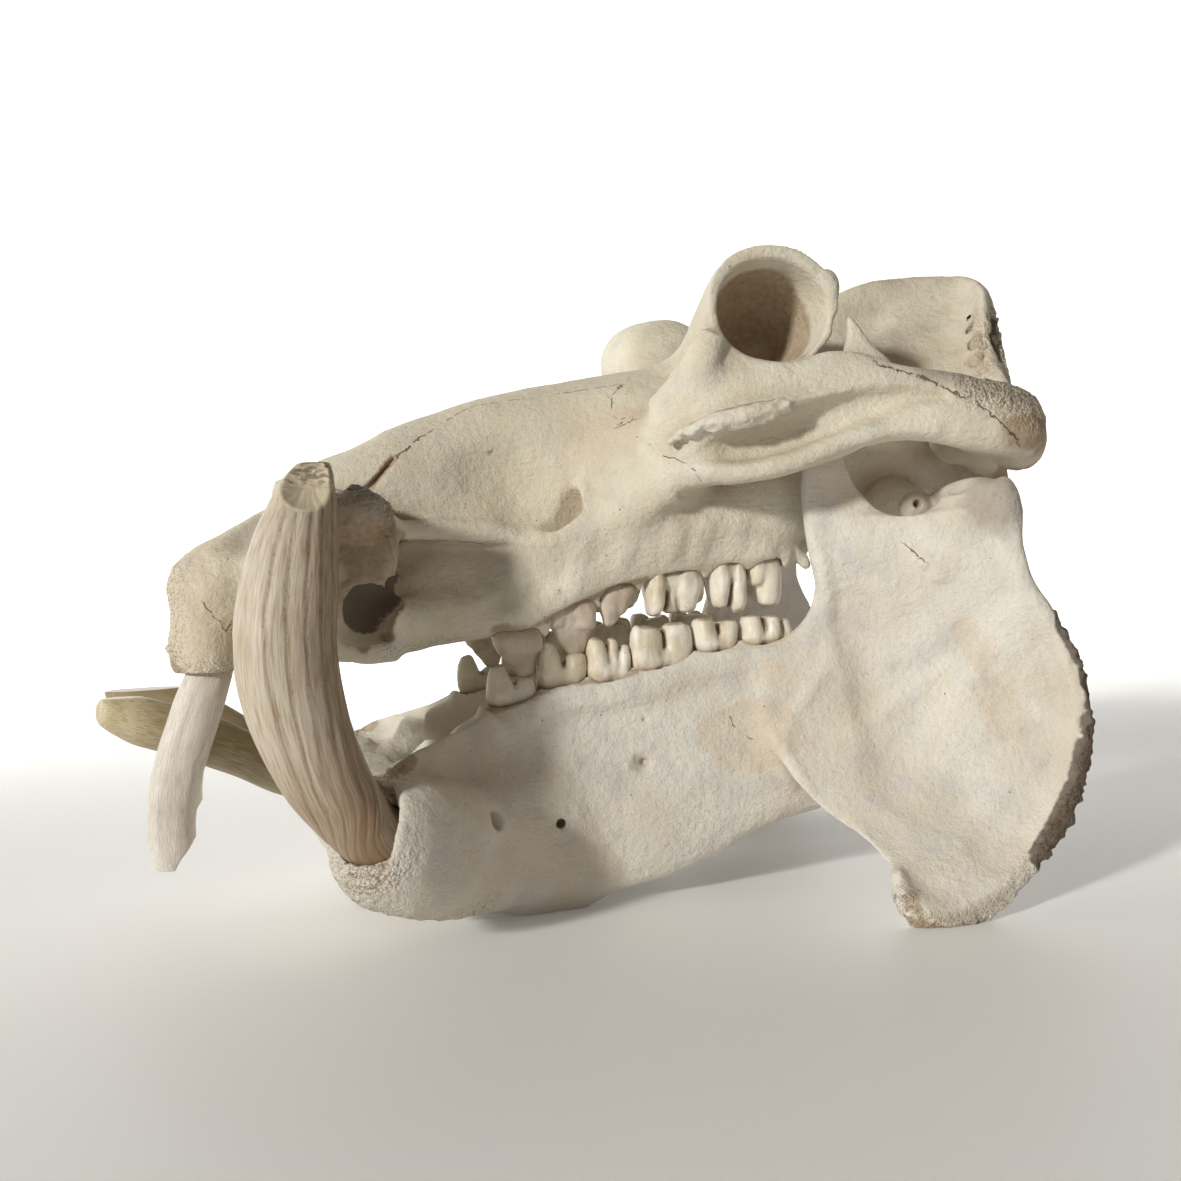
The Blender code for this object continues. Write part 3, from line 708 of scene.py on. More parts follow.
# Cranium
# The upper skull is many bones grown together: muzzle, tooth-bearing jaws with a swelling for each
# upper tusk, raised eye sockets, wide cheek arches and a braincase with a crest. It is made like the
# jaw below. Both upper tusks are missing, so their sockets stand open.
UPPER_INCISOR = [(24, -70, 202, 30, 30), (18, -70, 184, 31, 31), (8, -71, 157, 32, 33),
    (-4, -72, 122, 32, 33), (-8, -73, 92, 31, 31), (-7, -73, 72, 29, 29), (-8, -73, 62, 27, 26)]
UPPER_CHEEK_TEETH = [
    ("premolar_2", 219, 254, 73, 24, 207, 173), ("premolar_3", 258, 296, 75, 27, 226, 187),
    ("premolar_4", 299, 326, 79, 25, 237, 208), ("molar_1", 335, 379, 86, 36, 245, 214),
    ("molar_2", 382, 411, 91, 37, 250, 214), ("molar_3", 413, 440, 94, 34, 251, 217)]

skull = Clay((-24, -206, 170), (686, 206, 500), BONE_GRAIN, CLAY_REACH, paired=True)
# Muzzle, forehead and braincase along the middle, and the crest along its top
skull.add(limb([(66, 0, 284, 84, 84), (100, 0, 281, 116, 120), (150, 0, 280, 124, 156),
    (200, 0, 289, 118, 170), (250, 0, 303, 122, 172), (300, 0, 318, 140, 164), (350, 0, 329, 178, 154),
    (400, 0, 341, 172, 148), (440, 0, 354, 136, 142), (490, 0, 362, 100, 124), (540, 0, 368, 108, 126),
    (600, 0, 372, 112, 132), (634, 0, 376, 110, 140)], squareness=2.7))
skull.add(lump((548, 0, 366), (84, 58, 62)), 20)
skull.add(limb([(430, 0, 396, 60, 40), (480, 0, 411, 40, 44), (531, 0, 434, 26, 64), (577, 0, 447, 26, 82),
    (636, 0, 457, 34, 76)]), 26)
skull.add(limb([(450, 0, 300, 52, 44), (520, 0, 304, 56, 46), (580, 0, 308, 66, 48), (640, 0, 318, 84, 52)]))
# Back wall: a fan that leans back towards its top and sweeps into the crest, with a hollow on each
# side of its middle, the knuckles that meet the neck, and the ear region
skull.add(limb([(652, 8, 398, 20, 180), (648, -32, 392, 18, 172), (636, -62, 374, 18, 138),
    (622, -92, 362, 20, 96), (614, -118, 352, 22, 64)]), 22)
skull.add(plate([(380, 556, -58, 632, -104, 12, 0), (410, 566, -46, 640, -84, 12, 4),
    (440, 580, -26, 652, -60, 12, 6), (465, 600, -12, 661, -40, 12, 5),
    (482, 618, -6, 665, -20, 11, 2)]), 26)
skull.cut(lump((680, -38, 412), (24, 26, 50)), 20)
skull.add(lump((654, -30, 322), (22, 22, 27)), 6)
skull.add(lump((632, -78, 306), (13, 15, 34)), 8)
skull.add(lump((560, -44, 298), (26, 17, 20)), 8)
skull.add(lump((604, -152, 327), (15, 14, 14)), 5)
# Front lobes of the upper jaw, which hold the front teeth
skull.add(lump((27, -56, 246), (31, 37, 30)), 10)
skull.add(lump((21, -64, 208), (27, 32, 33)), 14)
skull.add(limb([(18, -52, 226, 58, 64), (46, -56, 242, 62, 86), (70, -58, 254, 58, 92),
    (96, -62, 264, 50, 98)]), 14)
# The swelling for the upper tusk: a stout wall with a knobbly cap, which runs back along the jaw's edge
skull.add(lump((98, -84, 262), (46, 46, 52)), 16)
skull.add(plate([(197, 100, -114, 140, -104, 40, 0), (212, 95, -114, 144, -104, 54, 0),
    (240, 94, -113, 144, -105, 62, 0), (264, 94, -108, 146, -100, 60, 0), (284, 95, -100, 146, -94, 54, 0),
    (300, 98, -94, 142, -90, 44, 0), (309, 106, -92, 134, -90, 24, 0)], squareness=2.3), 12)
skull.add(lump((120, -120, 292), (23, 24, 19)), 5)
skull.add(lump((106, -118, 290), (16, 20, 16)), 6)
skull.add(limb([(122, -108, 216, 46, 38), (146, -94, 217, 40, 36), (172, -76, 220, 28, 38),
    (206, -62, 226, 22, 38)]), 12)
# The ridge along the cheek, and the block that holds the cheek teeth, knuckled along its edge
skull.add(limb([(138, -92, 283, 14, 14), (156, -78, 284, 13, 13), (182, -68, 284, 13, 12),
    (214, -64, 282, 12, 12), (250, -66, 280, 13, 13), (284, -74, 280, 16, 18), (318, -88, 293, 24, 26),
    (346, -106, 308, 26, 24)]), 14)
skull.add(limb([(130, -62, 226, 44, 46), (180, -56, 232, 34, 58), (230, -56, 238, 36, 56),
    (290, -62, 264, 44, 56), (350, -74, 282, 54, 62), (400, -80, 290, 50, 66), (440, -80, 294, 44, 68),
    (466, -72, 302, 34, 56)]), 14)
skull.cut(lump((196, -104, 254), (40, 36, 20)), 14)
skull.add(gum_edge(UPPER_CHEEK_TEETH), 8)
for tooth in UPPER_CHEEK_TEETH:
    skull.add(lump((tooth[2] + 1, 9 - tooth[3], tooth[5] + 5), (6, 9, 10)), 8)
skull.add(limb([(446, -84, 262, 12, 14), (456, -86, 254, 8, 10), (462, -86, 246, 4, 5)]), 5)
# Cheek arch, with a rolled lower edge and the hollow between that and the muscle's ridge
skull.add(limb([(306, -58, 318, 36, 56), (336, -82, 331, 50, 60), (358, -110, 341, 46, 68),
    (378, -132, 349, 38, 78), (404, -143, 352, 30, 82), (432, -149, 356, 26, 76), (462, -156, 363, 24, 72),
    (490, -163, 362, 22, 56), (520, -171, 358, 22, 50), (550, -178, 351, 24, 50), (580, -180, 345, 30, 50),
    (600, -162, 344, 36, 46), (606, -120, 346, 44, 48), (606, -70, 356, 44, 60)]), 20)
skull.add(lump((586, -150, 338), (24, 42, 12)), 10)
skull.cut(limb([(346, -141, 328, 16, 10), (376, -156, 331, 38, 30), (404, -166, 337, 44, 34),
    (432, -172, 346, 44, 36), (460, -178, 356, 42, 28), (496, -188, 362, 38, 20),
    (524, -193, 362, 24, 8)]), 5)
skull.add(limb([(338, -104, 313, 8, 8), (352, -120, 313, 11, 10), (368, -135, 314, 12, 11),
    (393, -150, 315, 12, 11), (421, -158, 321, 12, 11), (457, -166, 334, 12, 11), (490, -172, 341, 9, 8),
    (518, -177, 341, 6, 5)]), 10)
skull.add(limb([(336, -130, 337, 7, 4), (348, -138, 344, 12, 8), (362, -147, 349, 16, 12),
    (378, -154, 352, 20, 15), (394, -158, 355, 20, 14), (408, -161, 359, 17, 11), (426, -161, 364, 12, 7),
    (446, -163, 368, 8, 5), (460, -165, 370, 5, 4)]), 3)
# Roof from the forehead up to the rim of the eye socket, the struts at the rim's front and back
skull.add(limb([(404, -20, 392, 84, 40), (416, -62, 410, 88, 60), (420, -96, 430, 90, 80),
    (419, -120, 435, 95, 84), (418, -136, 436, 98, 85)], squareness=2.1), 18)
skull.add(limb([(344, -104, 362, 26, 30), (354, -122, 378, 24, 30), (362, -133, 396, 20, 26),
    (369, -138, 414, 14, 18)]), 14)
skull.add(lump((394, -126, 394), (18, 14, 12)), 10)
skull.add(lump((463, -132, 449), (9, 8, 14)), 5)
skull.cut(limb([(430, -62, 414, 34, 34), (426, -78, 420, 56, 50), (422, -100, 427, 72, 65),
    (419, -126, 430, 82, 73), (418, -138, 431, 85, 76), (416, -165, 432, 92, 84)], squareness=2.1), 3)
skull.cut(limb([(490, -196, 417, 58, 42), (490, -144, 416, 56, 40), (488, -118, 409, 48, 34),
    (484, -98, 401, 38, 24), (480, -84, 394, 28, 12)], squareness=2.8), 2.5)
skull.add(plate([(380, 452, -147, 508, -157, 13, 0), (393, 462, -147, 498, -154, 11, 0),
    (403, 467, -146, 488, -151, 9, 0), (414, 470, -145, 481, -148, 7, 0),
    (425, 471, -144, 475, -145, 4, 0)]), 6)
skull.cut(lump((448, -98, 411), (4, 14, 4.5)), 1.5)
# Wings beside the inner nostrils, and the spur seen through the gap behind the cheek teeth
skull.add(plate([(250, 452, -28, 486, -30, 8, 0), (280, 446, -26, 500, -30, 10, 0),
    (312, 440, -26, 512, -28, 14, 0)]), 6)
skull.add(plate([(286, 549, -38, 559, -40, 8, 0), (300, 536, -38, 568, -42, 10, 3),
    (318, 518, -38, 578, -44, 12, 5), (340, 504, -38, 586, -46, 14, 4)]), 6)
# Nose opening, with the nasal bones left over its rear end, the palate's arch and the inner nostrils
skull.cut(limb([(-30, 0, 330, 60, 90), (20, 0, 296, 52, 74), (60, 0, 280, 60, 76), (100, 0, 270, 74, 84),
    (150, 0, 268, 70, 70), (190, 0, 274, 40, 40)]), 8)
skull.cut(limb([(-30, 0, 250, 16, 160), (20, 0, 245, 14, 160), (44, 0, 250, 10, 90)]), 8)
skull.cut(limb([(120, 0, 196, 60, 30), (240, 0, 206, 62, 34), (340, 0, 232, 72, 40), (430, 0, 254, 84, 50),
    (470, 0, 276, 40, 40), (500, 0, 270, 36, 36)]), 12)
# Empty tusk sockets with a ragged rear edge, tooth sockets, the hole for the spinal cord, and the
# nerve's way out of the cheek, a scoop that runs back under a sharp rim
skull.cut(limb([(152, -84, 270, 20, 22), (140, -104, 252, 28, 34), (122, -128, 229, 34, 40),
    (112, -160, 224, 42, 42), (104, -196, 218, 54, 44)], squareness=2.5), 2)
for ragged in ((139, -128, 246), (141, -122, 238), (134, -134, 213), (118, -142, 206)):
    skull.cut(lump(ragged, (5, 16, 5)), 2)
skull.cut(tooth_tube(UPPER_INCISOR, SOCKET_ROOM), 2.5)
for tooth in UPPER_CHEEK_TEETH:
    skull.cut(cheek_socket(tooth), 2.5)
skull.cut(lump((672, 0, 336), (40, 15, 15)), 5)
skull.add(lump((290, -70, 298), (7, 6, 19)), 6)
skull.cut(limb([(236, -81, 288, 6, 8), (250, -78, 290, 11, 18), (264, -74, 293, 16, 28),
    (276, -71, 296, 17, 33), (286, -68, 298, 14, 29), (292, -65, 299, 6, 16)]), 1.5)
# The open crack behind the tusk's swelling, the dent in the cheek and the slots in the broken back edge
skull.cut(limb([(122, -74, 297, 20, 3.4), (130, -64, 308, 16, 3.6), (137, -57, 318, 14, 3.8),
    (146, -54, 328, 12, 4.2), (155, -51, 338, 9, 2.8)], squareness=2.0), 1.2)
skull.cut(lump((226, -102, 326), (50, 50, 30)), 18)
skull.cut(lump((243, -74, 312), (22, 18, 26)), 14)
for broken, size in (
        ((611, -93, 408), (5, 9, 8)), ((619, -83, 420), (4, 8, 10)), ((626, -70, 431), (4, 7, 9)),
        ((606, -104, 396), (6, 8, 5)), ((634, -60, 444), (5, 6, 6)), ((617, -98, 418), (3, 8, 5))):
    skull.cut(lump(broken, size), 1.5)

SKULL_CAP = [(104, 116, 302), (120, 126, 302), (136, 122, 292)]
MUSCLE_RIDGE = [(343, 137, 338), (362, 151, 347), (380, 158, 351), (396, 162, 355), (414, 165, 361)]
SQUAMOSAL_END = [(552, 186, 370), (580, 190, 362), (600, 188, 350), (602, 160, 352)]
SKULL_ZONES = {
    "porous": [([(2, 64, 255), (-3, 72, 228), (0, 78, 196), (12, 88, 184), (34, 88, 184)], 6, 26),
        ([(0, 74, 188), (14, 88, 178), (36, 88, 181)], 8, 18), (SKULL_CAP, 10, 20),
        ([(104, 144, 203), (128, 142, 201), (152, 112, 200), (190, 76, 202)], 3, 10), (SQUAMOSAL_END, 8, 26),
        ([(642, 80, 440), (630, 96, 412), (622, 108, 388)], 8, 26)],
    "pebbly": [(SKULL_CAP, 13, 22), (SQUAMOSAL_END, 10, 30), ([(606, 150, 326), (612, 150, 334)], 10, 20)],
    "gnarled": [(MUSCLE_RIDGE, 4, 10), (SKULL_CAP, 10, 18)],
    # Near-black painted shade in the empty tusk socket and over the jaw's hinge, and darker along the broken
    # back edge.
    "dark_stain_and_shade": [([(606, 150, 326)], 9, 16), ([(640, 78, 436), (622, 100, 404)], 3, 11),
        ([(150, 84, 262), (132, 108, 241), (122, 118, 230)], 13, 19)],
    "rim": [([(650, 60, 452), (640, 78, 430), (628, 96, 408)], 4, 14),
        ([(4, 74, 178), (18, 86, 175), (36, 84, 178)], 4, 14), ([(2, 78, 196), (0, 74, 212)], 3, 10)],
    "pale": [([(350, 142, 338), (368, 152, 343), (386, 158, 347), (404, 162, 353)], 4, 8),
        ([(104, 144, 200), (128, 142, 199), (152, 112, 198)], 2, 9)],
    # Painted shade among the stains: the rows on the tusk's swelling paint the shadow that the lower tusk
    # casts there, the row in the eye socket paints its shaded inside, and the rows at the arch's back end
    # paint the shade over the jaw's hinge.
    "stain_and_shade": [([(118, 140, 232), (130, 124, 250), (146, 100, 266)], 12, 26),
        ([(138, 118, 290), (142, 112, 280)], 3, 12),
        ([(572, 190, 338), (590, 192, 336), (602, 186, 334), (604, 150, 332)], 4, 20),
        ([(424, 92, 424), (419, 112, 428)], 35, 41),
        ([(118, 128, 280), (126, 128, 262), (134, 124, 244)], 10, 30), ([(606, 150, 326)], 12, 22),
        ([(636, 78, 320), (632, 78, 296)], 8, 24),
        ([(219, 73, 210), (254, 74, 216), (296, 76, 234), (330, 82, 243)], 1, 7),
        ([(0, 74, 190), (12, 86, 179), (36, 86, 182)], 4, 18),
        ([(348, 140, 348), (374, 156, 358), (402, 163, 365)], 1, 5),
        ([(124, 70, 300), (137, 56, 318), (155, 50, 338)], 1, 5), ([(366, 138, 404)], 2, 8),
        ([(640, 78, 436), (622, 100, 404)], 3, 12)],
    "rosy": [([(548, 40, 320), (560, 50, 334)], 14, 34), ([(300, 60, 340), (320, 84, 352)], 2, 40),
        ([(50, 88, 232), (60, 90, 214)], 4, 24), ([(10, 60, 262), (4, 80, 230), (20, 88, 210)], 20, 46)],
    "grey": [(SKULL_CAP, 12, 30), ([(44, 84, 281), (54, 83, 292)], 2, 26),
        ([(520, 172, 384), (552, 182, 374), (578, 186, 364)], 2, 24),
        ([(592, 20, 420), (566, 30, 410)], 6, 44)]}
SKULL_RELIEF = [(40, [(16, 262), (22, 238), (34, 246)], 4, 16, -1.8),
    (40, [(150, 279), (214, 276), (262, 272)], 1, 7, 1.6),
    (100, [(326, 334), (340, 320), (362, 316)], 1, 8, 1.4), (40, [(232, 222), (236, 244)], 2, 12, 1.6),
    (40, [(276, 240), (282, 264)], 2, 12, 1.6),
    (40, [(312, 252), (316, 272)], 2, 11, 1.3), (50, [(346, 258), (350, 278)], 2, 11, 1.5),
    (50, [(368, 260), (372, 280)], 2, 10, 1.2), (50, [(396, 262), (400, 282)], 2, 11, 1.3),
    (120, [(500, 352), (560, 340)], 4, 20, 1.8), (120, [(380, 330), (430, 342)], 3, 14, -1.2),
    (40, [(170, 262), (200, 250)], 4, 26, -1.6)]
SKULL_SEAMS = [
    (1.3, [(157, 52, 339), (174, 44, 353)]),
    (0.5, [(174, 44, 353), (194, 37, 366), (214, 33, 376), (237, 37, 381), (281, 48, 386), (324, 62, 389)]),
    (0.7, [(327, 64, 389), (316, 67, 381), (314, 71, 373), (313, 76, 365), (316, 82, 360), (328, 94, 366)]),
    (0.6, [(310, 81, 352), (318, 88, 356), (327, 98, 362)]),
    (0.5, [(326, 98, 362), (336, 114, 366), (348, 124, 376), (358, 118, 388)]),
    (0.6, [(329, 113, 338), (336, 121, 329), (344, 129, 326), (353, 135, 318), (358, 134, 311)]),
    (1.5, [(476, 163, 393), (482, 168, 386), (499, 173, 382), (515, 179, 375), (531, 185, 365),
           (551, 191, 352), (568, 195, 337), (577, 194, 327)]),
    (0.7, [(150, 80, 279), (178, 70, 276), (214, 66, 275), (240, 68, 273)]),
    (0.8, [(20, 90, 238), (32, 90, 221), (37, 91, 224)]),
    (0.8, [(6, 0, 268), (120, 0, 348), (250, 0, 389), (360, 0, 406), (420, 0, 416)])]
skull_mesh = weathered(skull, "cranium", SKULL_ZONES, SKULL_RELIEF, 11)
skull_paint = bone_paint("cranium bone", (0.79, 0.75, 0.62), (0.68, 0.62, 0.49), (0.64, 0.62, 0.55),
                         (0.75, 0.67, 0.52), 23.0)
place_piece(skull_mesh, "cranium_bone", "cranium", skull_paint,
            bone_marks(skull_mesh, skull, SKULL_ZONES, SKULL_SEAMS))


# Lower tusks
# Each lower canine is a thick curved rod of ivory with rounded ridges down its outer face and brown
# dirt between them. Its tip was broken off at a slant, which left a shallow hollow.
TUSK_GRAIN = 1.1
TUSK_REACH = 7.0


def along_tube(points, rows):
    """Where points lie along a tooth's middle line, 0 to 1, and their angle round it from its front."""
    rows, ahead, fore, out = middle_line(rows)
    spacing = np.linalg.norm(np.gradient(rows[:, :3], axis=0), axis=1)
    nearest = np.argmin(((points[:, None] - rows[None, :, :3]) ** 2).sum(-1), axis=1)
    past = dots(points - rows[nearest, :3], ahead[nearest]) / spacing[nearest]
    along = np.clip(nearest + past, 0, len(rows) - 1.001)
    low = along.astype(int)
    t = (along - low)[:, None]
    rows, fore, out = (table[low] * (1 - t) + table[low + 1] * t for table in (rows, fore, out))
    offset = points - rows[:, :3]
    angle = np.arctan2(dots(offset, out) / rows[:, 3], dots(offset, fore) / rows[:, 4])
    return along / (len(spacing) - 1), angle


def block_for(form, grain, reach, spare=4.0):
    """A block of clay as large as a form, with a little room round it."""
    return Clay(form[0].min(0) - spare, form[0].max(0) + spare, grain, reach)


def mirrored(mesh, name):
    """A copy of a mesh for the other side."""
    copy = mesh.copy()
    copy.name = name
    set_points(copy, mesh_values(mesh, "co") * (1, -1, 1))
    copy.flip_normals()
    return copy


def ivory_paint(name, pale, buff, brown, roughness, seed):
    """Ivory: pale and satin, with brown in its grooves, fine lines along it, dirt near its root, and a brown
    rear side that is stain and painted shade.
    """
    place, mark, finish = new_paint(name)
    rod = place.node("CombineXYZ", {0: mark("around"), 1: mark("along")})
    lines = rod.stretched((9.0, 1.6, 1.0)).noise(1.0, seed, 3.0)
    fine = rod.stretched((46.0, 2.2, 1.0)).noise(1.0, seed + 1, 2.0)
    broad = place.noise(40, seed + 2, 2.0)
    streaks = place.stretched((0.3, 1, 1)).noise(2.2, seed + 4)
    groove = mark("groove")
    dashes = rod.stretched((14.0, 9.0, 1.0)).noise(1.0, seed + 3, 3.0)
    dirt = groove * dashes.rise(0.58, 0.68) * broad.rise(0.36, 0.55)
    colour = layered(
        pale, (lines.rise(0.4, 0.72), buff), (fine.rise(0.5, 0.75) * 0.3, buff),
        (broad.rise(0.45, 0.7) * 0.45, buff), (mark("rear") * (0.35 + 0.55 * lines), brown),
        (groove * (0.1 + 0.8 * lines), brown), (dirt * 0.85, (0.09, 0.04, 0.018)),
        (mark("root") * (0.3 + 0.6 * lines), brown), (mark("broken") * 0.85, (0.66, 0.57, 0.42)),
        (mark("rough") * streaks.rise(0.42, 0.6) * 0.75, (0.17, 0.12, 0.07)))
    height = fine * 0.12 + lines * 0.25 + mark("rough") * streaks * 1.6
    return finish(colour, roughness + 0.15 * lines, height, 0.5)


BREAK_CENTRE = np.array((85.0, -197.0, 322.0))
BREAK_RADII = np.array((34.0, 40.0, 32.0))
RIDGES = 18
RIDGE_HEIGHT = 1.5
tusk_form = tooth_tube(TUSK)
tusk = block_for(tusk_form, TUSK_GRAIN, TUSK_REACH)
tusk.add(tusk_form, 1)
tusk.cut(lump(BREAK_CENTRE, BREAK_RADII), 0.8)
tusk_mesh = tusk.skin("tusk")
points, normals = skin_points(tusk_mesh)
along, angle = along_tube(points, TUSK)
broken = fade(np.linalg.norm((points - BREAK_CENTRE) / BREAK_RADII, axis=1), 1.02, 1.06)
broken = np.maximum(broken, fade(-points[:, 2], -325, -323))
ridged = fade(np.abs(angle - 2.15), 0.9, 1.25) * (1 - broken)
rod = np.stack([angle, along, 0 * along], axis=1)
wavy = angle + 0.05 * lumpy(rod * (3, 6, 1), 1, 21) + 0.06 * lumpy(rod * (1, 3, 1), 1, 22)
ridge = np.abs(np.cos(RIDGES / 2 * wavy))
high = 0.6 + 0.4 * lumpy(rod * (9, 5, 1), 2, 23)
push = ridged * high * RIDGE_HEIGHT * (ridge ** 0.45 - 0.7) + 0.25 * lumpy(rod * (9, 10, 1), 1, 24)
rough = broken * fade(-points[:, 2], -316, -304)
push += 0.5 * lumpy(points, 30, 25) + rough * (1.5 * lumpy(points * (0.4, 1, 1), 3.2, 26) - 0.6)
set_points(tusk_mesh, points + normals * push[:, None] * (1 - fade(points[:, 2], 66, 78))[:, None])
# The rear mark browns the tusk's rear side: stain, with painted shade on the side turned from the light.
tusk_marks = {"along": along * 12, "around": angle * 2, "broken": broken, "rough": rough,
              "groove": ridged * fade(ridge, 0.1, 0.7), "root": fade(points[:, 2], 84, 170),
              "rear": fade(-angle, -2.6, -1.5) * (1 - broken)}
tusk_paint = ivory_paint("ridged ivory", (0.64, 0.57, 0.47), (0.46, 0.36, 0.25), (0.24, 0.14, 0.07),
                         0.36, 61.0)
for side, mesh in (("left", tusk_mesh), ("right", mirrored(tusk_mesh, "right tusk"))):
    place_piece(mesh, side + "_tusk_ivory", side + "_lower_tusk", tusk_paint, tusk_marks)


# Lower incisors
# The two big lower front teeth lie nearly flat and point forward: smooth yellowish pegs of ivory with
# blunt tips, glossy at the front and darker towards their sockets.
PEG_GRAIN = 1.0
ROD_TRIANGLES = 25000


def rod_tooth(name, rows, amount, seed, worn, squareness=2.0):
    """A smooth ivory tooth along its rows, its surface a little uneven, with a worn face cut off it."""
    form = tooth_tube(rows, squareness=squareness)
    clay = block_for(form, PEG_GRAIN, TUSK_REACH)
    clay.add(form, 1)
    clay.cut(lump(*worn), 1.2)
    mesh = clay.skin(name)
    points, normals = skin_points(mesh)
    along, angle = along_tube(points, rows)
    push = (amount * lumpy(np.stack([angle * 20, along * 40, 0 * along], axis=1), 5, seed)
            + 0.5 * lumpy(points, 22, seed + 1))
    set_points(mesh, points + normals * push[:, None])
    return thinned(mesh, ROD_TRIANGLES)


def rod_marks(mesh, rows, root_full, root_none):
    """The marks that the ivory's paint reads, for a smooth tooth that is stained only at its root."""
    along, angle = along_tube(mesh_values(mesh, "co"), rows)
    bare = 0 * along
    return {"along": along * 12, "around": angle * 2, "broken": bare, "rough": bare, "rear": bare,
            "groove": bare + 0.2, "root": fade(along, root_full, root_none)}


def lifted(mesh, name, most, full, none):
    """A copy of a front tooth for the other side, its front end higher, as it stands in its socket."""
    copy = mirrored(mesh, name)
    points = mesh_values(copy, "co")
    points[:, 2] += most * fade(points[:, 0], full, none)
    set_points(copy, points)
    return copy


peg_mesh = rod_tooth("lower incisor", LOWER_INCISOR, 0.25, 31, ((-60, -34, 190), (14, 30, 14)))
peg_paint = ivory_paint("yellow ivory", (0.72, 0.63, 0.42), (0.50, 0.40, 0.22), (0.20, 0.14, 0.07),
                        0.24, 71.0)
for side, mesh in (("left", peg_mesh), ("right", lifted(peg_mesh, "right peg", 10, -30, 80))):
    place_piece(mesh, side + "_incisor_peg", side + "_lower_incisor", peg_paint,
                rod_marks(peg_mesh, LOWER_INCISOR, 0.35, 0.7))


# Upper incisors
# One pale front tooth hangs from each front lobe of the upper jaw: a gently curved bar with fine lines
# along it, worn to a slant at its end.
bar_mesh = rod_tooth("upper incisor", UPPER_INCISOR, 0.35, 41, ((46, -73, 36), (60, 60, 60)), 2.6)
bar_paint = ivory_paint("pale ivory", (0.80, 0.77, 0.73), (0.66, 0.58, 0.48), (0.42, 0.29, 0.17),
                        0.34, 81.0)
for side, mesh in (("left", bar_mesh), ("right", mirrored(bar_mesh, "right bar"))):
    place_piece(mesh, side + "_incisor_bar", side + "_upper_incisor", bar_paint,
                rod_marks(bar_mesh, UPPER_INCISOR, 0.02, 0.22))


# Cheek teeth
# Six teeth in each half of each jaw: pointed premolars with side lobes in front, and molars of paired
# pillars behind, their enamel folded, worn on top and stained brown at the neck.
TOOTH_GRAIN = 0.7
TOOTH_REACH = 6.0
TOOTH_TRIANGLES = 12000
TOOTH_SPARE = 0.0012
ROOT_LENGTH = 13.4
# The lobes of each tooth: place along it at the foot and at the tip (0 front, 1 rear), place across it
# (0 outer, 1 inner), height, length and width as shares of the crown's, and how pointed it is
BACK = (0.5, 0.5, 0.72, 0.84, 0.86, 0.54, 0.3)
FOOT = (0.5, 0.5, 0.5, 0.4, 1.0, 0.96, 0.15)
UPPER_LOBES = [
    [FOOT, (0.46, 0.66, 0.48, 1.0, 0.92, 0.9, 0.8), (0.22, 0.24, 0.42, 0.5, 0.44, 0.8, 0.3),
     (0.76, 0.79, 0.32, 0.44, 0.52, 0.68, 0.1)],
    [FOOT, (0.47, 0.59, 0.5, 1.0, 0.92, 0.88, 0.8), (0.2, 0.2, 0.38, 0.44, 0.44, 0.76, 0.2),
     (0.73, 0.75, 0.3, 0.5, 0.56, 0.7, 0.1)],
    [(0.5, 0.28, 0.5, 1.0, 1.0, 0.84, 0.9), (0.78, 0.58, 0.36, 0.7, 0.5, 0.6, 0.7)],
    [FOOT, (0.15, 0.1, 0.32, 1.0, 0.3, 0.72, 0.1), (0.41, 0.42, 0.44, 0.95, 0.3, 0.66, 0.2),
     (0.70, 0.68, 0.32, 0.95, 0.52, 0.76, 0.4), BACK],
    [FOOT, (0.28, 0.3, 0.34, 0.88, 0.54, 0.76, 0.3), (0.74, 0.76, 0.34, 1.0, 0.5, 0.76, 0.1), BACK],
    [FOOT, (0.26, 0.22, 0.3, 0.5, 0.5, 0.64, 0.2), (0.6, 0.62, 0.42, 1.0, 0.8, 0.84, 0.1), BACK]]
LOWER_LOBES = [
    [FOOT, (0.30, 0.22, 0.45, 1.0, 0.62, 0.9, 0.65), (0.74, 0.78, 0.42, 0.64, 0.54, 0.82, 0.25)],
    [FOOT, (0.30, 0.22, 0.45, 1.0, 0.6, 0.9, 0.7), (0.72, 0.84, 0.42, 0.7, 0.56, 0.8, 0.3)],
    [FOOT, (0.31, 0.22, 0.45, 1.0, 0.62, 0.9, 0.5), (0.62, 0.62, 0.4, 0.96, 0.36, 0.64, 0.4),
     (0.82, 0.91, 0.34, 0.76, 0.38, 0.7, 0.5)],
    [FOOT, (0.26, 0.24, 0.36, 0.94, 0.54, 0.76, 0.05), (0.75, 0.77, 0.36, 1.0, 0.52, 0.76, 0.05),
     (0.10, 0.07, 0.3, 0.98, 0.24, 0.5, 0.3), BACK],
    [FOOT, (0.30, 0.18, 0.38, 1.0, 0.58, 0.76, 0.2), (0.68, 0.82, 0.36, 0.9, 0.56, 0.76, 0.3), BACK],
    [FOOT, (0.24, 0.2, 0.38, 1.0, 0.46, 0.74, 0.2), (0.58, 0.6, 0.36, 0.95, 0.44, 0.74, 0.3),
     (0.86, 0.87, 0.4, 0.76, 0.32, 0.64, 0.3), BACK]]


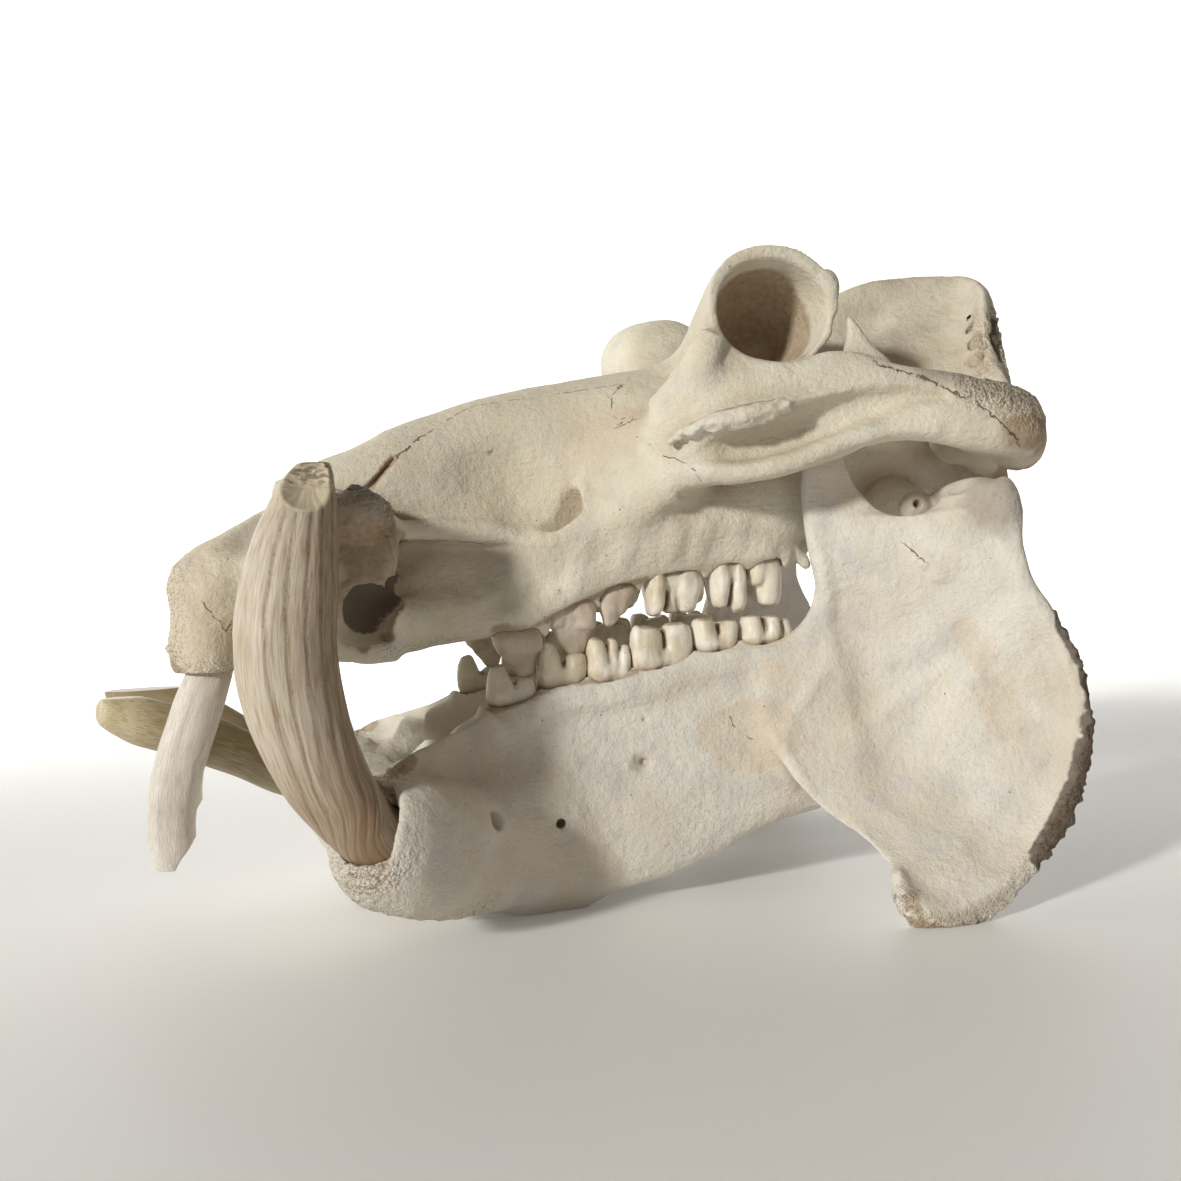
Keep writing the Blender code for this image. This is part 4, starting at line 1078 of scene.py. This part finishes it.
def cusp(foot, tip, y, neck, crown, length, width, pointed):
    """One lobe of a tooth, from its root past its swollen waist to its rounded tip."""
    up, share = np.array([(-1.0, 0.6), (-0.25, 0.84), (0.0, 0.94), (0.22, 1.0), (0.5, 1 - 0.22 * pointed),
                          (0.78, 0.94 - 0.48 * pointed), (0.93, 0.76 - 0.48 * pointed),
                          (1.0, 0.36 - 0.26 * pointed)]).T
    heights = up * np.where(up < 0, math.copysign(ROOT_LENGTH, crown), crown)
    places = foot + (tip - foot) * np.clip(up, 0, 1)
    rows = smooth_rows(np.column_stack([places, 0 * heights + y, neck + heights, share]), 4)
    size = rows[:, 3:4]
    return loft(ovals(rows[:, :3], size * (length / 2, 0, 0), size * (0, width / 2, 0), 2.2, 40))


def cheek_tooth(tooth, lobes, seed):
    """One cheek tooth of the left side, from its lobes, with fine folds and its neck and wear marked."""
    name, front, rear, outer, width, neck, tip = tooth
    length = rear - front
    crown = tip - neck
    clay = Clay((front - 4, -outer - 4, min(neck, tip) - ROOT_LENGTH - 4),
                (rear + 4, width - outer + 4, max(neck, tip) + ROOT_LENGTH + 4), TOOTH_GRAIN, TOOTH_REACH)
    for foot, end, across, high, long, wide, pointed in lobes:
        clay.add(cusp(front + foot * length, front + end * length, across * width - outer, neck, crown * high,
                      length * long, width * wide, pointed), 2.2)
    mesh = clay.skin(name)
    points, normals = skin_points(mesh)
    push = (0.7 * lumpy(points, 8, seed) + 0.45 * lumpy(points * (1, 1, 0.35), 4, seed + 1)
            + 0.15 * lumpy(points, 1.8, seed + 2))
    set_points(mesh, points + normals * push[:, None])
    mesh = thinned(mesh, TOOTH_TRIANGLES)
    points, normals = skin_points(mesh)
    height = (points[:, 2] - neck) / crown
    worn = fade(-normals[:, 2] * math.copysign(1.0, crown), -0.9, -0.6) * fade(-height, -0.88, -0.8)
    # The folds between the lobes are painted brown, as dirt and painted shade, by how near other enamel
    # stands over each point.
    return mesh, {"hollow_dirt_and_shade": crowding(clay, points, normals, 3.2), "height": height, "worn": worn}


def enamel_paint(name, pale, buff, seed):
    """Enamel: cream and glossy on the crown, brown with dirt and painted shade in its folds, with a rusty
    stained band round the neck.
    """
    place, mark, finish = new_paint(name)
    small = place.noise(4, seed)
    broad = place.noise(22, seed + 1, 2.0)
    height = mark("height")
    streaks = place.stretched((1, 1, 0.15)).noise(1.6, seed + 2, 2.0)
    colour = layered(
        pale, (broad.rise(0.4, 0.65), buff), (streaks.rise(0.48, 0.75) * 0.4, buff),
        (mark("hollow_dirt_and_shade").rise(0.1, 0.7) * 0.85, (0.22, 0.13, 0.07)),
        (height.rise(0.22, 0.0) * (0.1 + 0.5 * small), (0.42, 0.28, 0.17)),
        (height.rise(0.02, -0.12) * 0.7, (0.34, 0.23, 0.14)),
        (mark("worn") * (0.4 + 0.5 * small), (0.33, 0.22, 0.12)),
        (place.cells(6).rise(0.14, 0.06) * 0.4, (0.22, 0.12, 0.06)))
    return finish(colour, 0.3 + 0.25 * small, small * 0.3 + streaks * 0.15, 0.5)


white_enamel = enamel_paint("white enamel", (0.83, 0.79, 0.69), (0.69, 0.61, 0.46), 91.0)
# The first three upper teeth take a darker enamel: their own pinkish grey, with painted shade, as they sit in
# shadow.
rosy_shaded_enamel = enamel_paint("rosy shaded enamel", (0.64, 0.55, 0.46), (0.50, 0.41, 0.31), 95.0)
for jaw_name, teeth, lobes, seed in (("upper", UPPER_CHEEK_TEETH, UPPER_LOBES, 150),
                                     ("lower", LOWER_CHEEK_TEETH, LOWER_LOBES, 100)):
    for number, tooth in enumerate(teeth):
        mesh, marks = cheek_tooth(tooth, lobes[number], seed + 7 * number)
        enamel = rosy_shaded_enamel if jaw_name == "upper" and number < 3 else white_enamel
        for side, half in (("left", mesh), ("right", mirrored(mesh, "right " + tooth[0]))):
            node = "_".join((side, jaw_name, tooth[0]))
            place_piece(half, node + "_crown", node, enamel, marks, TOOTH_SPARE)


# Floor and light
# A plain pale floor that sweeps up into a bright backdrop far behind, a low key light from the front
# left that leaves strong shade, and a dim warm room round it.
PAPER = (0.88, 0.88, 0.88)
GLOW_FROM = 0.3
GLOW_TO = 2.5
GLOW_NEAR = (0.05, 0.05, 0.05)
GLOW_FAR = (0.75, 0.75, 0.75)
ROOM_COLOUR = (1.0, 0.88, 0.74)
ROOM_STRENGTH = 0.15
SUN_COLOUR = (1.0, 0.985, 0.93)
SUN_ENERGY = 2.5
SUN_SPREAD = math.radians(6)
SUN_PLACE = (-2.05, -1.28, 1.1)
SUN_AIM = (0, 0, 0.25)
UNDER_SKULL = 0.0003
HALF_WIDTH = 6
SWEEP_START = 1.9
SWEEP_RADIUS = 0.7
sweep = [(SWEEP_START + SWEEP_RADIUS * math.sin(turn), SWEEP_RADIUS - SWEEP_RADIUS * math.cos(turn))
         for turn in (0, 0.2, 0.4, 0.6, 0.8, 1.0, 1.2, 1.4, math.pi / 2)]
sweep = [(-6.0, 0.0)] + sweep + [(SWEEP_START + SWEEP_RADIUS, 4.0)]
floor_mesh = bpy.data.meshes.new("floor")
floor_mesh.from_pydata([(x, y, z - UNDER_SKULL) for y, z in sweep for x in (-HALF_WIDTH, HALF_WIDTH)], [],
                       [(2 * i, 2 * i + 1, 2 * i + 3, 2 * i + 2) for i in range(len(sweep) - 1)])
floor_mesh.polygons.foreach_set("use_smooth", np.ones(len(floor_mesh.polygons), bool))
new_object("floor", floor_mesh)


def paper_paint():
    """Plain pale paper that glows more and more towards the far backdrop, with no horizon in it."""
    material = bpy.data.materials.new("pale paper")
    material.use_nodes = True
    tree = material.node_tree
    shader = tree.nodes["Principled BSDF"]
    place = Paint(tree, tree.nodes.new("ShaderNodeTexCoord").outputs["Object"])
    glow = place.node("SeparateXYZ", {0: place}, 1).rise(GLOW_FROM, GLOW_TO).over(GLOW_NEAR, GLOW_FAR)
    tree.links.new(glow.socket, shader.inputs["Emission Color"])
    shader.inputs["Emission Strength"].default_value = 1.0
    shader.inputs["Base Color"].default_value = (*PAPER, 1)
    return material


floor_mesh.materials.append(paper_paint())
room = bpy.data.worlds.new("pale room")
bpy.context.scene.world = room
room.use_nodes = True
room.node_tree.nodes["Background"].inputs["Color"].default_value = (*ROOM_COLOUR, 1.0)
room.node_tree.nodes["Background"].inputs["Strength"].default_value = ROOM_STRENGTH
lamp = bpy.data.lights.new("low sun", "SUN")
lamp.angle = SUN_SPREAD
lamp.energy = SUN_ENERGY
lamp.color = SUN_COLOUR
sun = new_object("low sun", lamp)
sun.location = SUN_PLACE
sun.rotation_euler = (Vector(SUN_AIM) - sun.location).to_track_quat("-Z", "Y").to_euler()
bpy.context.scene.view_settings.view_transform = "Standard"
